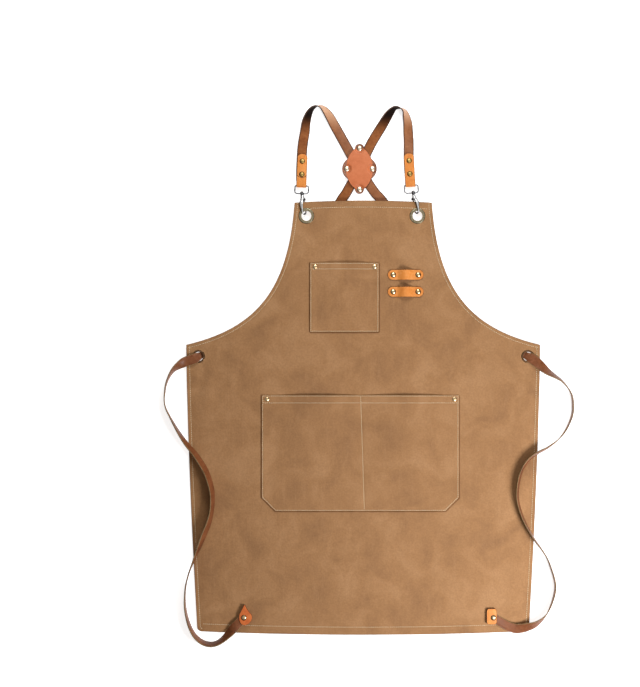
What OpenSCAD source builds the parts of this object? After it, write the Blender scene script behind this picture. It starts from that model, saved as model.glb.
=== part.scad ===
// Cross-back work apron laid flat on its back: waxed canvas cloth, leather harness, snap hooks and ties.
// +X is to the wearer's left as the apron lies, +Y runs from the bottom hem to the bib, +Z is up.
// The origin is on the surface that the apron lies on, below the middle of its outline.

/* [Cloth] */
// Width of the cloth at the waist
waist_w = 668; // [556:2:802]
// Width of the cloth at the bottom hem
foot_w = 627; // [520:1:760]
// Height of the cloth from the bottom hem to the top of the bib
cloth_h = 820; // [684:2:984]
// Height of the bib above the waist corners
bib_h = 272; // [250:2:330]
// Width of the bib at its top edge
bib_w = 259; // [245:1:311]
// Thickness of the canvas
cloth_t = 1.2; // [0.6:0.1:2.5]
// Thickness of a turned-under hem
hem_t = 1.2; // [0.6:0.1:2]
// Width of the hem along the top of the bib
top_hem_w = 12; // [8:1:16]
// Width of the hem along the bottom
foot_hem_w = 15; // [8:1:30]
// Width of the narrow hems along the sides and armholes
side_hem_w = 6; // [4:0.5:9]
// Height of the skirt's underside above the surface
skirt_lift = 3.6; // [3.4:0.1:5]
// Height of the bib's underside at the bib grommets, where the snap hooks prop it up
bib_lift = 7.3; // [7.2:0.1:9]

/* [Chest pocket] */
// Width of the chest pocket
chest_w = 133; // [110:1:150]
// Depth of the chest pocket
chest_h = 132; // [100:1:140]
// Middle of the chest pocket, from the middle of the bib
chest_x = -35; // [-38:1:-20]
// Top edge of the chest pocket, below the top of the bib
chest_drop = 117; // [80:1:120]

/* [Lower pocket] */
// Width of the lower pocket
lower_w = 375; // [300:1:460]
// Depth of the lower pocket
lower_h = 220; // [180:1:260]
// Middle of the lower pocket, from the middle of the skirt
lower_x = -5; // [-20:1:20]
// Top edge of the lower pocket, below the waist corners
lower_drop = 95; // [60:1:120]
// Length of the slanted bottom corners
lower_corner = 26; // [15:1:40]
// Width of the stitched-down middle band that divides the lower pocket
divider_w = 10; // [6:1:20]

/* [Both pockets] */
// Thickness of the pocket canvas
pocket_t = 1; // [0.6:0.1:2]
// Height of a pocket's mouth, under its panel
mouth_gap = 5.8; // [5.6:0.1:12]
// Depth of the hem turned inside a pocket's mouth
mouth_hem_w = 12; // [8:1:20]
// Thickness of that hem
mouth_hem_t = 0.8; // [0.5:0.1:1]

/* [Leather] */
// Width of the straps
strap_w = 19; // [14:0.5:20]
// Thickness of the straps
strap_t = 2.2; // [1.6:0.1:2.4]
// Thickness of the tabs, patches and pen loops
leather_t = 1.7; // [1.2:0.1:2.2]
// Length of a strap tab, from the eye's bar to its rounded end
tab_len = 60; // [56:1:75]
// Half width of the crossing patch's oval
patch_rx = 25.4; // [24:0.2:30]
// Half height of the crossing patch's oval
patch_ry = 39.7; // [38:0.2:46]

/* [Pen loops] */
// Length of a pen loop
loop_len = 68; // [60:1:90]
// Width of a pen loop
loop_w = 19.5; // [12:0.5:24]
// Distance between a pen loop's two rivets
loop_rivets = 47; // [44:1:54]
// Rise of a pen loop's arch
loop_rise = 7.5; // [7:0.5:14]
// Middle of the pen loops, from the middle of the bib
loop_x = 80; // [76:1:90]
// Middle of the upper pen loop, below the top of the bib
loop_drop = 140; // [110:1:150]
// Distance from one pen loop to the next
loop_pitch = 32; // [28:1:36]

/* [Grommets] */
// Radius of the hole in a bib grommet
bib_hole_r = 9.3; // [9:0.1:11]
// Outer radius of a bib grommet
bib_flange_r = 14.7; // [13.5:0.1:16]
// Radius of the hole in a waist grommet
waist_hole_r = 8.7; // [8.4:0.1:10]
// Outer radius of a waist grommet
waist_flange_r = 12.1; // [11.5:0.1:14]
// Height of a grommet's rounded flange
flange_h = 1.4; // [1:0.1:2]
// Thickness of a grommet's washer
washer_t = 0.7; // [0.5:0.1:0.8]
// Middle of a bib grommet, below the top of the bib
bib_grommet_drop = 29; // [28:0.5:36]
// Left bib grommet, in from the corner of the bib
left_grommet_inset = 22.3; // [20:0.5:30]
// Right bib grommet, in from the corner of the bib
right_grommet_inset = 27.3; // [20:0.5:30]
// Waist grommets, in from the waist corners
waist_grommet_inset = 23.5; // [22:0.5:34]
// Waist grommets, below the waist corners
waist_grommet_drop = 22; // [20:1:40]

/* [Rivets] */
// Radius of a rivet's domed cap
cap_r = 5.2; // [4:0.1:6]
// Height of a rivet's domed cap
cap_h = 1.8; // [1.2:0.1:3]
// Radius of a rivet's post
post_r = 1.6; // [1:0.1:2]
// Radius of a rivet's flat back
back_r = 4.4; // [3.5:0.1:5]
// Thickness of a rivet's flat back
back_t = 0.8; // [0.5:0.1:0.85]

/* [Snap hooks] */
// Radius of the eye's wire
eye_r = 1.3; // [1:0.1:1.5]
// Outer width of the eye
eye_w = 28.5; // [27:0.5:32]
// Distance between the middles of the eye's two bars
eye_h = 15.4; // [14:0.2:20]
// Radius of the hook's wire
hook_r = 1.7; // [1.4:0.1:1.8]
// Radius of the hook's bend, at the middle of its wire
bend_r = 6.5; // [6.2:0.1:7.2]
// Length of the hook, from the eye's boss to the bottom of its bend
hook_len = 38.9; // [38:0.1:44]
// Tilt of the hook's flat out of the cloth's plane
hook_tilt = 60; // [55:1:65]
// Length of the gate, from its pin to its tip
gate_len = 17; // [15:0.5:18]

/* [Hidden] */

// Seats between pieces of one body, and the smaller clearance of a pin or shank that turns in its bore.
seat = 0.1;
run_fit = 0.05;

// Heights of the cloth's outline. The bottom edge bows down and the top edge bows up a little.
foot_y = -500;
foot_bow = 7;
top_bow = 4;
foot_corner_r = 8;
top_y = foot_y + cloth_h;
top_corner_y = top_y - top_bow;
foot_corner_y = foot_y + foot_bow;
waist_y = top_y - bib_h;

// The bib slopes up from the waist to the height at which the hooks hold it.
fold_y = waist_y - 1;
bib_grommet_y = top_y - bib_grommet_drop;
bib_slope = atan((bib_lift - skirt_lift) / (bib_grommet_y - fold_y));

// Places of the grommets.
left_grommet_x = left_grommet_inset - bib_w / 2;
right_grommet_x = bib_w / 2 - right_grommet_inset;
waist_grommet_x = waist_w / 2 - waist_grommet_inset;
waist_grommet_y = waist_y - waist_grommet_drop;

// The left and right snap hooks: the eye's boss from its grommet, how the hook leans, how the eye leans.
boss_z = 7.7;
left_lean = 7.1;
right_lean = 10.8;
left_eye_lean = -2.3;
right_eye_lean = 3.1;
left_boss = [left_grommet_x - 8.3, bib_grommet_y + 41.9, boss_z];
right_boss = [right_grommet_x - 7.7, bib_grommet_y + 43.3, boss_z];
// The eye's middle is this far to the side of its boss.
left_eye_shift = -0.8;
right_eye_shift = -3.3;
// The tab's middle is this far to the side of the eye's middle.
left_tab_shift = -1;
right_tab_shift = -1.3;

// The tab wraps the eye's top bar, and its back leaf lies just above its rivets' backs.
tab_back_z = 0.9;
wrap_r = eye_r + seat;
bar_z = tab_back_z + leather_t + wrap_r;
eye_pitch = asin((boss_z - bar_z) / eye_h);
tab_w = strap_w;
tab_rivets = [21.5, 46.5];

// The crossing patch: two leaves with both straps between them, pinched together by rivets at four lobes.
patch_at = [-7, 380];
patch_back_z = 0.9;
patch_strap_z = patch_back_z + leather_t + seat;
patch_front_z = patch_strap_z + 2 * strap_t + 0.3;
patch_lobe_z = patch_strap_z + 1.7;
patch_side_r = 21.6;
patch_side_x = 11;
lobe_r = 8.5;
patch_lobes = [[0, 38.5], [0, -38.5], [24.2, 0], [-24.2, 0]];

// Hook, gate and spring inside the hook's own frame: X across the bend, -Y along the hook, Z across its flat.
shank_r = 1.2;
boss_r = 3.2;
boss_len = 6.2;
collar_r = 2.7;
collar_end = -9.2;
bend_y = -hook_len + bend_r;
pin_x = 5;
pin_y = -11.6;
pin_r = 0.7;
ear_r = 2.1;
ear_t = 1;
gate_w = 1.7;
spring_wire_r = 0.28;
fork_gap = gate_w + 2 * spring_wire_r * 2 + 0.35;
fork_w = fork_gap + 2 * ear_t;

// A strap's route: x, y, height of what it lies on, roll about its length and width. A roll of 0 or 180
// lies flat and 90 stands on edge.
left_strap_route = [
    [-118, 357, 3, 180, 17], [-117, 378, 3, 180, 19], [-116, 397, 3, 180, 19], [-115, 416, 2.6, 179, 19],
    [-113, 433, 1.2, 174, 19], [-110, 450, 0.5, 164, 19], [-108, 466, 0.5, 150, 19], [-104, 480, 0.6, 132, 19],
    [-98, 491, 0.7, 112, 19], [-90, 497, 0.8, 93, 19], [-81, 497, 0.8, 70, 19], [-72, 490, 0.7, 46, 19],
    [-63, 478, 0.5, 26, 19], [-55, 464, 0.4, 12, 19], [-46, 448, 0.8, 4, 19], [-36, 430, 2, 0, 19],
    [-25, 410, 2.7, 0, 19], [-16, 395, 2.7, 0, 19], [-7, 380, 2.7, 0, 19], [2, 365, 2.7, 0, 19],
    [13, 348, 2.7, 0, 19], [24, 333, 1.2, 0, 19], [36, 320, 0.3, 0, 19], [60, 284, 0.3, 0, 19],
    [83, 240, 0.3, 0, 19], [106, 195, 0.3, 0, 19], [132, 151, 0.3, 0, 19], [164, 112, 0.3, 0, 19],
    [202, 80, 0.3, 0, 19], [242, 61, 0.3, 0, 19], [270, 48.6, 0.3, 0, 17], [286.6, 39.6, 0.3, 0, 13.5],
    [299.2, 32.4, 0.3, 0, 12.5]];
right_strap_route = [
    [88, 359, 3, 180, 17], [87, 378, 3, 180, 19], [86, 397, 3, 180, 19], [86, 416, 2.6, 179, 19],
    [86, 433, 1.2, 175, 19], [85, 450, 0.5, 168, 19], [84, 465, 0.5, 156, 19], [81, 479, 0.6, 138, 19],
    [77, 489, 0.7, 116, 19], [69, 494, 0.8, 94, 19], [60, 494, 0.8, 74, 19], [53, 488, 0.7, 52, 19],
    [45, 477, 0.5, 30, 19], [36, 462, 0.4, 14, 19], [26, 446, 0.8, 5, 19], [16, 429, 2, 0, 19],
    [7, 411, 2.9, 0, 19], [0, 396, 4.9, 0, 19], [-7, 380, 5, 0, 19], [-15, 364, 4.9, 0, 19],
    [-25, 347, 2.8, 0, 19], [-33, 333, 1.2, 0, 19], [-42, 320, 0.3, 0, 19], [-64, 282, 0.3, 0, 19],
    [-87, 238, 0.3, 0, 19], [-112, 195, 0.3, 0, 19], [-140, 151, 0.3, 0, 19], [-174, 112, 0.3, 0, 19],
    [-214, 80, 0.3, 0, 19], [-246, 61, 0.3, 0, 19], [-270, 48.2, 0.3, 0, 17], [-285.9, 39.3, 0.3, 0, 13.5],
    [-299.1, 32.2, 0.3, 0, 12.5]];
left_tie_route = [
    [-299.3, 32.1, 0.3, 0, 12.5], [-303.5, 29.8, 0.3, 0, 12.5], [-305.7, 28.6, 0.4, 0, 12.5],
    [-310.5, 26, 3.2, 0, 12.5], [-315.3, 23.4, 6.2, 0, 13], [-318, 22, 6.9, 0, 16], [-324.5, 19.6, 6.9, 2, 18.5],
    [-336, 15.8, 5.8, 14, 19], [-348, 8.6, 4, 48, 19], [-359, -1, 2, 72, 19],
    [-367, -14, 0.6, 84, 19], [-372, -28, 0.4, 89, 19], [-374, -42, 0.4, 92, 19], [-375, -57, 0.4, 95, 19],
    [-372, -72, 0.5, 93, 19], [-364, -88, 1.4, 90, 19], [-354, -106, 3.6, 84, 19], [-343, -124, 5.2, 76, 19],
    [-331, -141, 5.2, 70, 19], [-318, -156, 5.2, 66, 19], [-307, -172, 5.2, 63, 19], [-297, -189, 5.2, 63, 19],
    [-290, -207, 5.2, 64, 19], [-285, -227, 5.2, 67, 19], [-284, -247, 5.2, 70, 19], [-286, -268, 5.2, 70, 19],
    [-291, -288, 5.2, 66, 19], [-299, -308, 5.2, 64, 19], [-307, -328, 5.2, 70, 19], [-315, -347, 5.2, 80, 19],
    [-322, -365, 5.2, 86, 19], [-329, -384, 4.6, 90, 19], [-334, -404, 2.4, 90, 19], [-336, -423, 0.7, 90, 19],
    [-336, -443, 0.4, 87, 19], [-333, -463, 0.4, 84, 19], [-327, -483, 0.4, 80, 19], [-317, -501, 0.5, 76, 19],
    [-302, -513, 1.6, 72, 19], [-285, -516, 4.2, 70, 19], [-269, -510, 5.4, 66, 19], [-253, -496, 5.5, 48, 19],
    [-243, -485, 6.7, 20, 18], [-236, -477.5, 7.7, 0, 17], [-221.5, -462.3, 7.7, 0, 16]];
right_tie_route = [
    [299.4, 32.3, 0.3, 0, 12.5], [303.5, 29.95, 0.3, 0, 12.5], [305.7, 28.7, 0.4, 0, 12.5],
    [310.5, 26, 3.2, 0, 12.5], [315.3, 23.2, 6.2, 0, 13], [317.9, 21.6, 6.9, 0, 16], [323.5, 17.8, 6.9, 2, 18.5],
    [332, 10.5, 5.9, 16, 19], [345, -1, 4, 44, 19], [359, -10, 2, 66, 19],
    [373, -19, 0.6, 78, 19], [385, -32, 0.4, 84, 19], [393, -47, 0.4, 88, 19], [395, -64, 0.4, 90, 19],
    [394, -82, 0.4, 90, 19], [388, -100, 0.5, 88, 19], [378, -118, 1.6, 86, 19], [363, -134, 4.2, 80, 19],
    [346, -146, 5.2, 76, 19], [329, -155, 5.2, 72, 19], [314, -166, 5.2, 71, 19], [302, -181, 5.2, 71, 19],
    [295, -198, 5.2, 71, 19], [291, -218, 5.2, 72, 19], [290, -240, 5.2, 73, 19], [294, -260, 5.2, 74, 19],
    [301, -280, 5.2, 76, 19], [311, -300, 5.2, 78, 19], [323, -320, 4.6, 81, 19], [335, -336, 3, 85, 19],
    [346, -353, 0.8, 88, 19], [353, -371, 0.4, 90, 19], [359, -390, 0.4, 90, 19], [362, -408, 0.4, 90, 19],
    [359, -427, 0.4, 88, 19], [352, -447, 0.9, 84, 19], [342, -464, 3, 74, 19], [326, -477, 5.4, 52, 19],
    [308, -484, 5.4, 28, 19], [289, -487, 5.5, 14, 19], [272, -482, 6.6, 7, 18], [260.5, -475.5, 7.7, 0, 17],
    [240.8, -463.4, 7.7, 0, 16]];
// How far a shoulder strap's points move with the snap hook, with the crossing patch or with the waist
// grommet when the cloth's sizes change.
strap_hook_end = 15;
strap_patch_end = 22;
strap_bib_w = 259;
strap_waist_w = 668;
strap_top_y = 320;
strap_waist_y = 48;

// Rivets through the ends of the ties, which lie between the two leaves of their tabs.
left_tie_end = [-225, -466];
right_tie_end = [245, -466];

cloth_color = "#a67c52";
pocket_color = "#ac8257";
hem_color = "#94703f";
strap_color = "#8b5a38";
tab_color = "#e0873f";
patch_color = "#c8744a";
brass_color = "#b79a5b";
antique_color = "#7c6a4a";
steel_color = "#cfd2d4";

// ---- Outline of the cloth ----

function bezier(p, t) =
    pow(1 - t, 3) * p[0] + 3 * pow(1 - t, 2) * t * p[1] + 3 * (1 - t) * pow(t, 2) * p[2] + pow(t, 3) * p[3];

// Armhole edge on the +X side, from the bib corner to the waist corner.
armhole_reach = (waist_w - bib_w) / 2;
armhole_fall = top_corner_y - waist_y;
armhole_ctrl = [
    [bib_w / 2, top_corner_y],
    [bib_w / 2 + 0.058 * armhole_reach, top_corner_y - 0.625 * armhole_fall],
    [bib_w / 2 + 0.362 * armhole_reach, top_corner_y - 0.885 * armhole_fall],
    [waist_w / 2, waist_y]];
function armhole(t) = bezier(armhole_ctrl, t);

// Side edge on the +X side, from the waist corner to where the bottom corner starts to round.
side_fall = waist_y - foot_corner_y - foot_corner_r;
function side_edge(s) = [waist_w / 2 - (waist_w - foot_w) / 2 * pow(s, 1.5), waist_y - side_fall * s];

function foot_edge(x) = [x, foot_y + foot_bow * pow(2 * x / foot_w, 2)];
function top_edge(x) = [x, top_y - top_bow * pow(2 * x / bib_w, 2)];
function mirror_x(p) = [-p[0], p[1]];
function reversed(list) = [for (i = [len(list) - 1:-1:0]) list[i]];

armhole_points = [for (i = [0:17]) armhole(i / 18)];
side_points = [for (i = [0:10]) side_edge(i / 10)];
corner_mid = [foot_w / 2 - foot_corner_r, foot_corner_y + foot_corner_r];
corner_points = [for (a = [-30:-30:-60]) corner_mid + foot_corner_r * [cos(a), sin(a)]];
foot_half = foot_w / 2 - foot_corner_r;
right_edge = concat(armhole_points, side_points, corner_points);

module cloth_outline()
    polygon(concat(
        right_edge,
        [for (i = [0:12]) foot_edge(foot_half * (1 - i / 6))],
        [for (p = reversed(right_edge)) mirror_x(p)],
        [for (i = [1:7]) top_edge(bib_w / 2 * (i / 4 - 1))]));

// A strip of the given width inside an edge, as two point lists.
function inward(a, b, w) = let (d = (b - a) / norm(b - a)) w * [d[1], -d[0]];
function strip(pts, w) =
    let (n = len(pts) - 1)
    concat(pts, [for (i = [n:-1:0]) pts[i] + inward(pts[max(i - 1, 0)], pts[min(i + 1, n)], w)]);

// Height of the cloth's underside at a given y.
function lift(y) = skirt_lift + max(y - fold_y, 0) * tan(bib_slope);

// Children drawn with the cloth's underside at z = 0 and y = 0 on their own middle.
module on_cloth(x, y)
    translate([x, y, lift(y)]) rotate([y > fold_y ? bib_slope : 0, 0, 0]) children();

module on_bib_plane()
    translate([0, fold_y, skirt_lift]) rotate([bib_slope, 0, 0]) translate([0, -fold_y, 0]) children();

module rivet_hole(h) translate([0, 0, -h]) cylinder(r = post_r + seat / 2, h = 2 * h, $fn = 32);

function chest_y() = top_y - chest_drop;
function lower_y() = waist_y - lower_drop;
rivet_inset = [10.5, 7.7];
chest_rivets = [for (s = [-1, 1]) [chest_x + s * (chest_w / 2 - rivet_inset[0]), chest_y() - rivet_inset[1]]];
lower_rivets = [for (s = [-1, 1]) [lower_x + s * (lower_w / 2 - rivet_inset[0]), lower_y() - rivet_inset[1]]];
loop_places = [for (k = [0, 1]) [loop_x, top_y - loop_drop - k * loop_pitch]];
loop_rivet_places = [for (p = loop_places) for (s = [-1, 1]) p + [s * loop_rivets / 2, 0]];
bib_grommets = [[left_grommet_x, bib_grommet_y], [right_grommet_x, bib_grommet_y]];
waist_grommets = [[-waist_grommet_x, waist_grommet_y], [waist_grommet_x, waist_grommet_y]];
barrel_t = 0.9;

module canvas_panel() color(cloth_color)
    difference() {
        intersection() {
            linear_extrude(2 * (bib_lift + 10)) cloth_outline();
            rotate([90, 0, 90]) translate([0, 0, -waist_w]) linear_extrude(2 * waist_w)
                polygon([
                    [foot_y - 10, skirt_lift], [fold_y, skirt_lift], [top_y + 10, lift(top_y + 10)],
                    [top_y + 10, lift(top_y + 10) + cloth_t], [fold_y, skirt_lift + cloth_t],
                    [foot_y - 10, skirt_lift + cloth_t]]);
        }
        for (p = bib_grommets) on_cloth(p[0], p[1])
            translate([0, 0, -5]) cylinder(r = bib_hole_r + barrel_t + seat, h = 10, $fn = 48);
        for (p = waist_grommets) on_cloth(p[0], p[1])
            translate([0, 0, -5]) cylinder(r = waist_hole_r + barrel_t + seat, h = 10, $fn = 48);
        for (p = concat(chest_rivets, lower_rivets, loop_rivet_places)) on_cloth(p[0], p[1]) rivet_hole(5);
    }

// ---- Hems ----

hem_gap = 0.5;
armhole_strip_pts = [for (i = [0:16]) armhole(i / 17.6)];
side_strip_pts = [for (i = [1:20]) side_edge(i / 20)];

module top_hem() color(hem_color)
    on_bib_plane() translate([0, 0, -hem_t]) linear_extrude(hem_t)
        polygon(concat(
            [for (i = [-5:5]) top_edge((bib_w / 2 - side_hem_w - hem_gap - 1.5) * i / 5)],
            [for (i = [5:-1:-5])
                top_edge((bib_w / 2 - side_hem_w - hem_gap - 1.5) * i / 5) - [0, top_hem_w]]));

module bottom_hem() color(hem_color)
    linear_extrude(skirt_lift)
        polygon(concat(
            [for (i = [-6:6]) foot_edge((foot_w / 2 - side_hem_w - 3) * i / 6) + [0, foot_hem_w]],
            [for (i = [6:-1:-6]) foot_edge((foot_w / 2 - side_hem_w - 3) * i / 6)]));

module armhole_hem() color(hem_color)
    on_bib_plane() translate([0, 0, -hem_t]) linear_extrude(hem_t)
        polygon(strip(armhole_strip_pts, side_hem_w));

module side_hem() color(hem_color)
    translate([0, 0, skirt_lift - hem_t]) linear_extrude(hem_t) polygon(strip(side_strip_pts, side_hem_w));

module left_armhole_hem() mirror([1, 0, 0]) armhole_hem();
module right_armhole_hem() armhole_hem();
module left_side_hem() mirror([1, 0, 0]) side_hem();
module right_side_hem() side_hem();

// ---- Pockets ----

ramp = 22;
chest_seam = 17;
lower_seam = lower_corner + 1;

function ease(s) = let (c = min(max(s, 0), 1)) c * c * (3 - 2 * c);
// Height of the panel's underside at x, for a bulge between a and b.
function bulge(x, a, b) = mouth_gap * min(ease((x - a) / ramp), ease((b - x) / ramp));
function spans_height(x, spans) = max([for (s = spans) bulge(x, s[0], s[1])]);
function ramp_points(a, b) =
    concat([for (i = [0:6]) a + ramp * i / 6], [for (i = [0:6]) b - ramp + ramp * i / 6]);
function panel_xs(w, spans) = concat([-w / 2], [for (s = spans) each ramp_points(s[0], s[1])], [w / 2]);

// A pocket panel stitched down along its sides, its bottom and between its bulges, open at y = 0.
module pouch(w, h, corner, spans) {
    xs = panel_xs(w, spans);
    top_line = [for (x = xs) [x, spans_height(x, spans) + pocket_t]];
    under_line = [for (x = reversed(xs)) [x, spans_height(x, spans)]];
    intersection() {
        union() {
            rotate([90, 0, 0]) linear_extrude(h) polygon(concat(top_line, under_line));
            for (s = spans)
                translate([0, -h + 1.5, 0]) rotate([90, 0, 0]) linear_extrude(1.5)
                    polygon(concat([for (x = ramp_points(s[0], s[1])) [x, bulge(x, s[0], s[1]) + pocket_t]],
                        [[s[1], 0], [s[0], 0]]));
        }
        linear_extrude(mouth_gap + 10)
            polygon([
                [-w / 2, 1], [w / 2, 1], [w / 2, -h + corner], [w / 2 - corner, -h],
                [-w / 2 + corner, -h], [-w / 2, -h + corner]]);
    }
}

// The hem turned inside a pocket's mouth, against the underside of each bulge.
module mouth_hem(spans)
    for (s = spans)
        let (a = s[0], b = s[1],
             xs = [for (x = ramp_points(a, b)) if (bulge(x, a, b) > mouth_hem_t + 0.5) x])
            translate([0, -0.5, 0]) rotate([90, 0, 0]) linear_extrude(mouth_hem_w)
                polygon(concat([for (x = xs) [x, bulge(x, a, b)]],
                    [for (x = reversed(xs)) [x, bulge(x, a, b) - mouth_hem_t]]));

chest_spans = [[-chest_w / 2 + chest_seam, chest_w / 2 - chest_seam]];
lower_spans = [
    [-lower_w / 2 + lower_seam, -lower_x - divider_w / 2],
    [-lower_x + divider_w / 2, lower_w / 2 - lower_seam]];

module chest_pocket() color(pocket_color)
    difference() {
        on_cloth(chest_x, chest_y()) translate([0, 0, cloth_t]) pouch(chest_w, chest_h, 3, chest_spans);
        for (p = chest_rivets) on_cloth(p[0], p[1]) rivet_hole(5);
    }

module chest_pocket_hem() color(hem_color)
    on_cloth(chest_x, chest_y()) translate([0, 0, cloth_t]) mouth_hem(chest_spans);

module lower_pocket() color(pocket_color)
    difference() {
        on_cloth(lower_x, lower_y()) translate([0, 0, cloth_t])
            pouch(lower_w, lower_h, lower_corner, lower_spans);
        for (p = lower_rivets) on_cloth(p[0], p[1]) rivet_hole(5);
    }

module lower_pocket_hem() color(hem_color)
    on_cloth(lower_x, lower_y()) translate([0, 0, cloth_t]) mouth_hem(lower_spans);

// ---- Rivets ----

// A domed cap on a post. The cap's underside is at z = 0 and the post goes down by the grip.
module rivet(grip) {
    dome_r = (cap_r * cap_r + cap_h * cap_h) / (2 * cap_h);
    intersection() {
        translate([0, 0, cap_h - dome_r]) sphere(r = dome_r, $fn = 96);
        cylinder(r = cap_r, h = cap_h + 1, $fn = 48);
    }
    translate([0, 0, -grip]) cylinder(r = post_r, h = grip + 0.2, $fn = 32);
}

module rivet_back() translate([0, 0, -back_t]) cylinder(r = back_r, h = back_t, $fn = 48);

cloth_grip = cloth_t + pocket_t;
loop_grip = cloth_t + leather_t;

module chest_pocket_rivets() color(brass_color)
    for (p = chest_rivets) on_cloth(p[0], p[1]) translate([0, 0, cloth_grip]) rivet(cloth_grip);
module lower_pocket_rivets() color(brass_color)
    for (p = lower_rivets) on_cloth(p[0], p[1]) translate([0, 0, cloth_grip]) rivet(cloth_grip);
module pen_loop_rivets() color(brass_color)
    for (p = loop_rivet_places) on_cloth(p[0], p[1]) translate([0, 0, loop_grip]) rivet(loop_grip);
module cloth_rivet_backs() color(brass_color)
    for (p = concat(chest_rivets, lower_rivets, loop_rivet_places)) on_cloth(p[0], p[1]) rivet_back();

// ---- Pen loops ----

arch_half = loop_rivets / 2 - cap_r - 0.8;
function arch(x) = abs(x) >= arch_half ? 0 : loop_rise * pow(1 - pow(x / arch_half, 2), 2);

module pen_loop() color(tab_color)
    difference() {
        intersection() {
            translate([0, loop_w / 2, 0]) rotate([90, 0, 0]) linear_extrude(loop_w)
                polygon(concat(
                    [[-loop_len / 2, leather_t]],
                    [for (i = [-10:10]) [arch_half * i / 10, arch(arch_half * i / 10) + leather_t]],
                    [[loop_len / 2, leather_t], [loop_len / 2, 0]],
                    [for (i = [10:-1:-10]) [arch_half * i / 10, arch(arch_half * i / 10)]],
                    [[-loop_len / 2, 0]]));
            union() {
                for (s = [-1, 1]) translate([s * (loop_len - loop_w) / 2, 0, -1])
                    cylinder(d = loop_w, h = loop_rise + 10, $fn = 48);
                translate([-(loop_len - loop_w) / 2, -loop_w / 2, -1])
                    cube([loop_len - loop_w, loop_w, loop_rise + 10]);
            }
        }
        for (s = [-1, 1]) translate([s * loop_rivets / 2, 0, 0]) rivet_hole(5);
    }

module upper_pen_loop() on_cloth(loop_places[0][0], loop_places[0][1]) translate([0, 0, cloth_t]) pen_loop();
module lower_pen_loop() on_cloth(loop_places[1][0], loop_places[1][1]) translate([0, 0, cloth_t]) pen_loop();

// ---- Grommets ----

// The eyelet: a rounded flange on the cloth and a barrel through it, with its foot on the washer.
module grommet(hole_r, flange_r) color(antique_color)
    rotate_extrude($fn = 72) {
        translate([hole_r, cloth_t]) square([flange_r - hole_r - flange_h, flange_h]);
        translate([hole_r, -washer_t]) square([barrel_t, cloth_t + washer_t + 0.1]);
        intersection() {
            translate([flange_r - flange_h, cloth_t]) circle(r = flange_h, $fn = 32);
            translate([flange_r - flange_h - 0.1, cloth_t]) square([flange_h + 0.1, flange_h]);
        }
    }

module washer(hole_r, flange_r) color(antique_color)
    translate([0, 0, -washer_t]) difference() {
        cylinder(r = flange_r - 0.6, h = washer_t, $fn = 72);
        translate([0, 0, -1]) cylinder(r = hole_r + barrel_t + seat, h = washer_t + 2, $fn = 72);
    }

module left_bib_grommet() on_cloth(left_grommet_x, bib_grommet_y) grommet(bib_hole_r, bib_flange_r);
module right_bib_grommet() on_cloth(right_grommet_x, bib_grommet_y) grommet(bib_hole_r, bib_flange_r);
module left_bib_washer() on_cloth(left_grommet_x, bib_grommet_y) washer(bib_hole_r, bib_flange_r);
module right_bib_washer() on_cloth(right_grommet_x, bib_grommet_y) washer(bib_hole_r, bib_flange_r);
module left_waist_grommet() on_cloth(-waist_grommet_x, waist_grommet_y) grommet(waist_hole_r, waist_flange_r);
module right_waist_grommet() on_cloth(waist_grommet_x, waist_grommet_y) grommet(waist_hole_r, waist_flange_r);
module left_waist_washer() on_cloth(-waist_grommet_x, waist_grommet_y) washer(waist_hole_r, waist_flange_r);
module right_waist_washer() on_cloth(waist_grommet_x, waist_grommet_y) washer(waist_hole_r, waist_flange_r);

// ---- Straps ----

function xyz(p) = [p[0], p[1], p[2] + (p[4] * abs(sin(p[3])) + strap_t * abs(cos(p[3]))) / 2];
function unit(v) = v / norm(v);
function heading(route, i) = unit(xyz(route[min(i + 1, len(route) - 1)]) - xyz(route[max(i - 1, 0)]));
// Cross-section: a rectangle with its long corners cut, as shares of the width and of the thickness.
strap_section = [
    [0.5, 0.2], [0.46, 0.5], [-0.46, 0.5], [-0.5, 0.2], [-0.5, -0.2], [-0.46, -0.5], [0.46, -0.5], [0.5, -0.2]];
function ring(route, i) =
    let (t = heading(route, i), h = unit(cross(t, [0, 0, 1])), u = cross(h, t), roll = route[i][3],
         across = cos(roll) * h + sin(roll) * u, face = cross(across, t))
    [for (c = strap_section) xyz(route[i]) + c[0] * route[i][4] * across + c[1] * strap_t * face];

module ribbon(route) {
    n = len(route);
    k = len(strap_section);
    polyhedron(
        points = [for (i = [0:n - 1]) each ring(route, i)],
        faces = concat(
            [for (j = [1:k - 2]) [0, j, j + 1]],
            [for (j = [1:k - 2]) [(n - 1) * k, (n - 1) * k + j + 1, (n - 1) * k + j]],
            [for (i = [0:n - 2]) for (j = [0:k - 1]) [i * k + j, (i + 1) * k + j, i * k + (j + 1) % k]],
            [for (i = [0:n - 2]) for (j = [0:k - 1])
                [(i + 1) * k + j, (i + 1) * k + (j + 1) % k, i * k + (j + 1) % k]]),
        convexity = 8);
}

// Shares of the move that a point makes with the hook, before the patch, and with the waist, after it.
function with_hook(i) = i < strap_hook_end ? min(1, (strap_hook_end - i) / (strap_hook_end - 4)) : 0;
function with_waist(i, n) = i > strap_patch_end ? (i - strap_patch_end) / (n - 1 - strap_patch_end) : 0;
function moved_route(route, side) =
    let (n = len(route), hook_move = [side * (bib_w - strap_bib_w) / 2, top_y - strap_top_y],
         rise = top_y - strap_top_y,
         waist_move = [-side * (waist_w - strap_waist_w) / 2, waist_y - strap_waist_y - rise])
    [for (i = [0:n - 1])
        let (p = route[i], a = with_hook(i), b = with_waist(i, n))
        [p[0] + a * hook_move[0] + b * waist_move[0], p[1] + rise + b * waist_move[1], p[2], p[3],
         min(p[4], strap_w * p[4] / 19)]];

patch_mid = [patch_at[0], patch_at[1] + top_y - strap_top_y];

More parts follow.
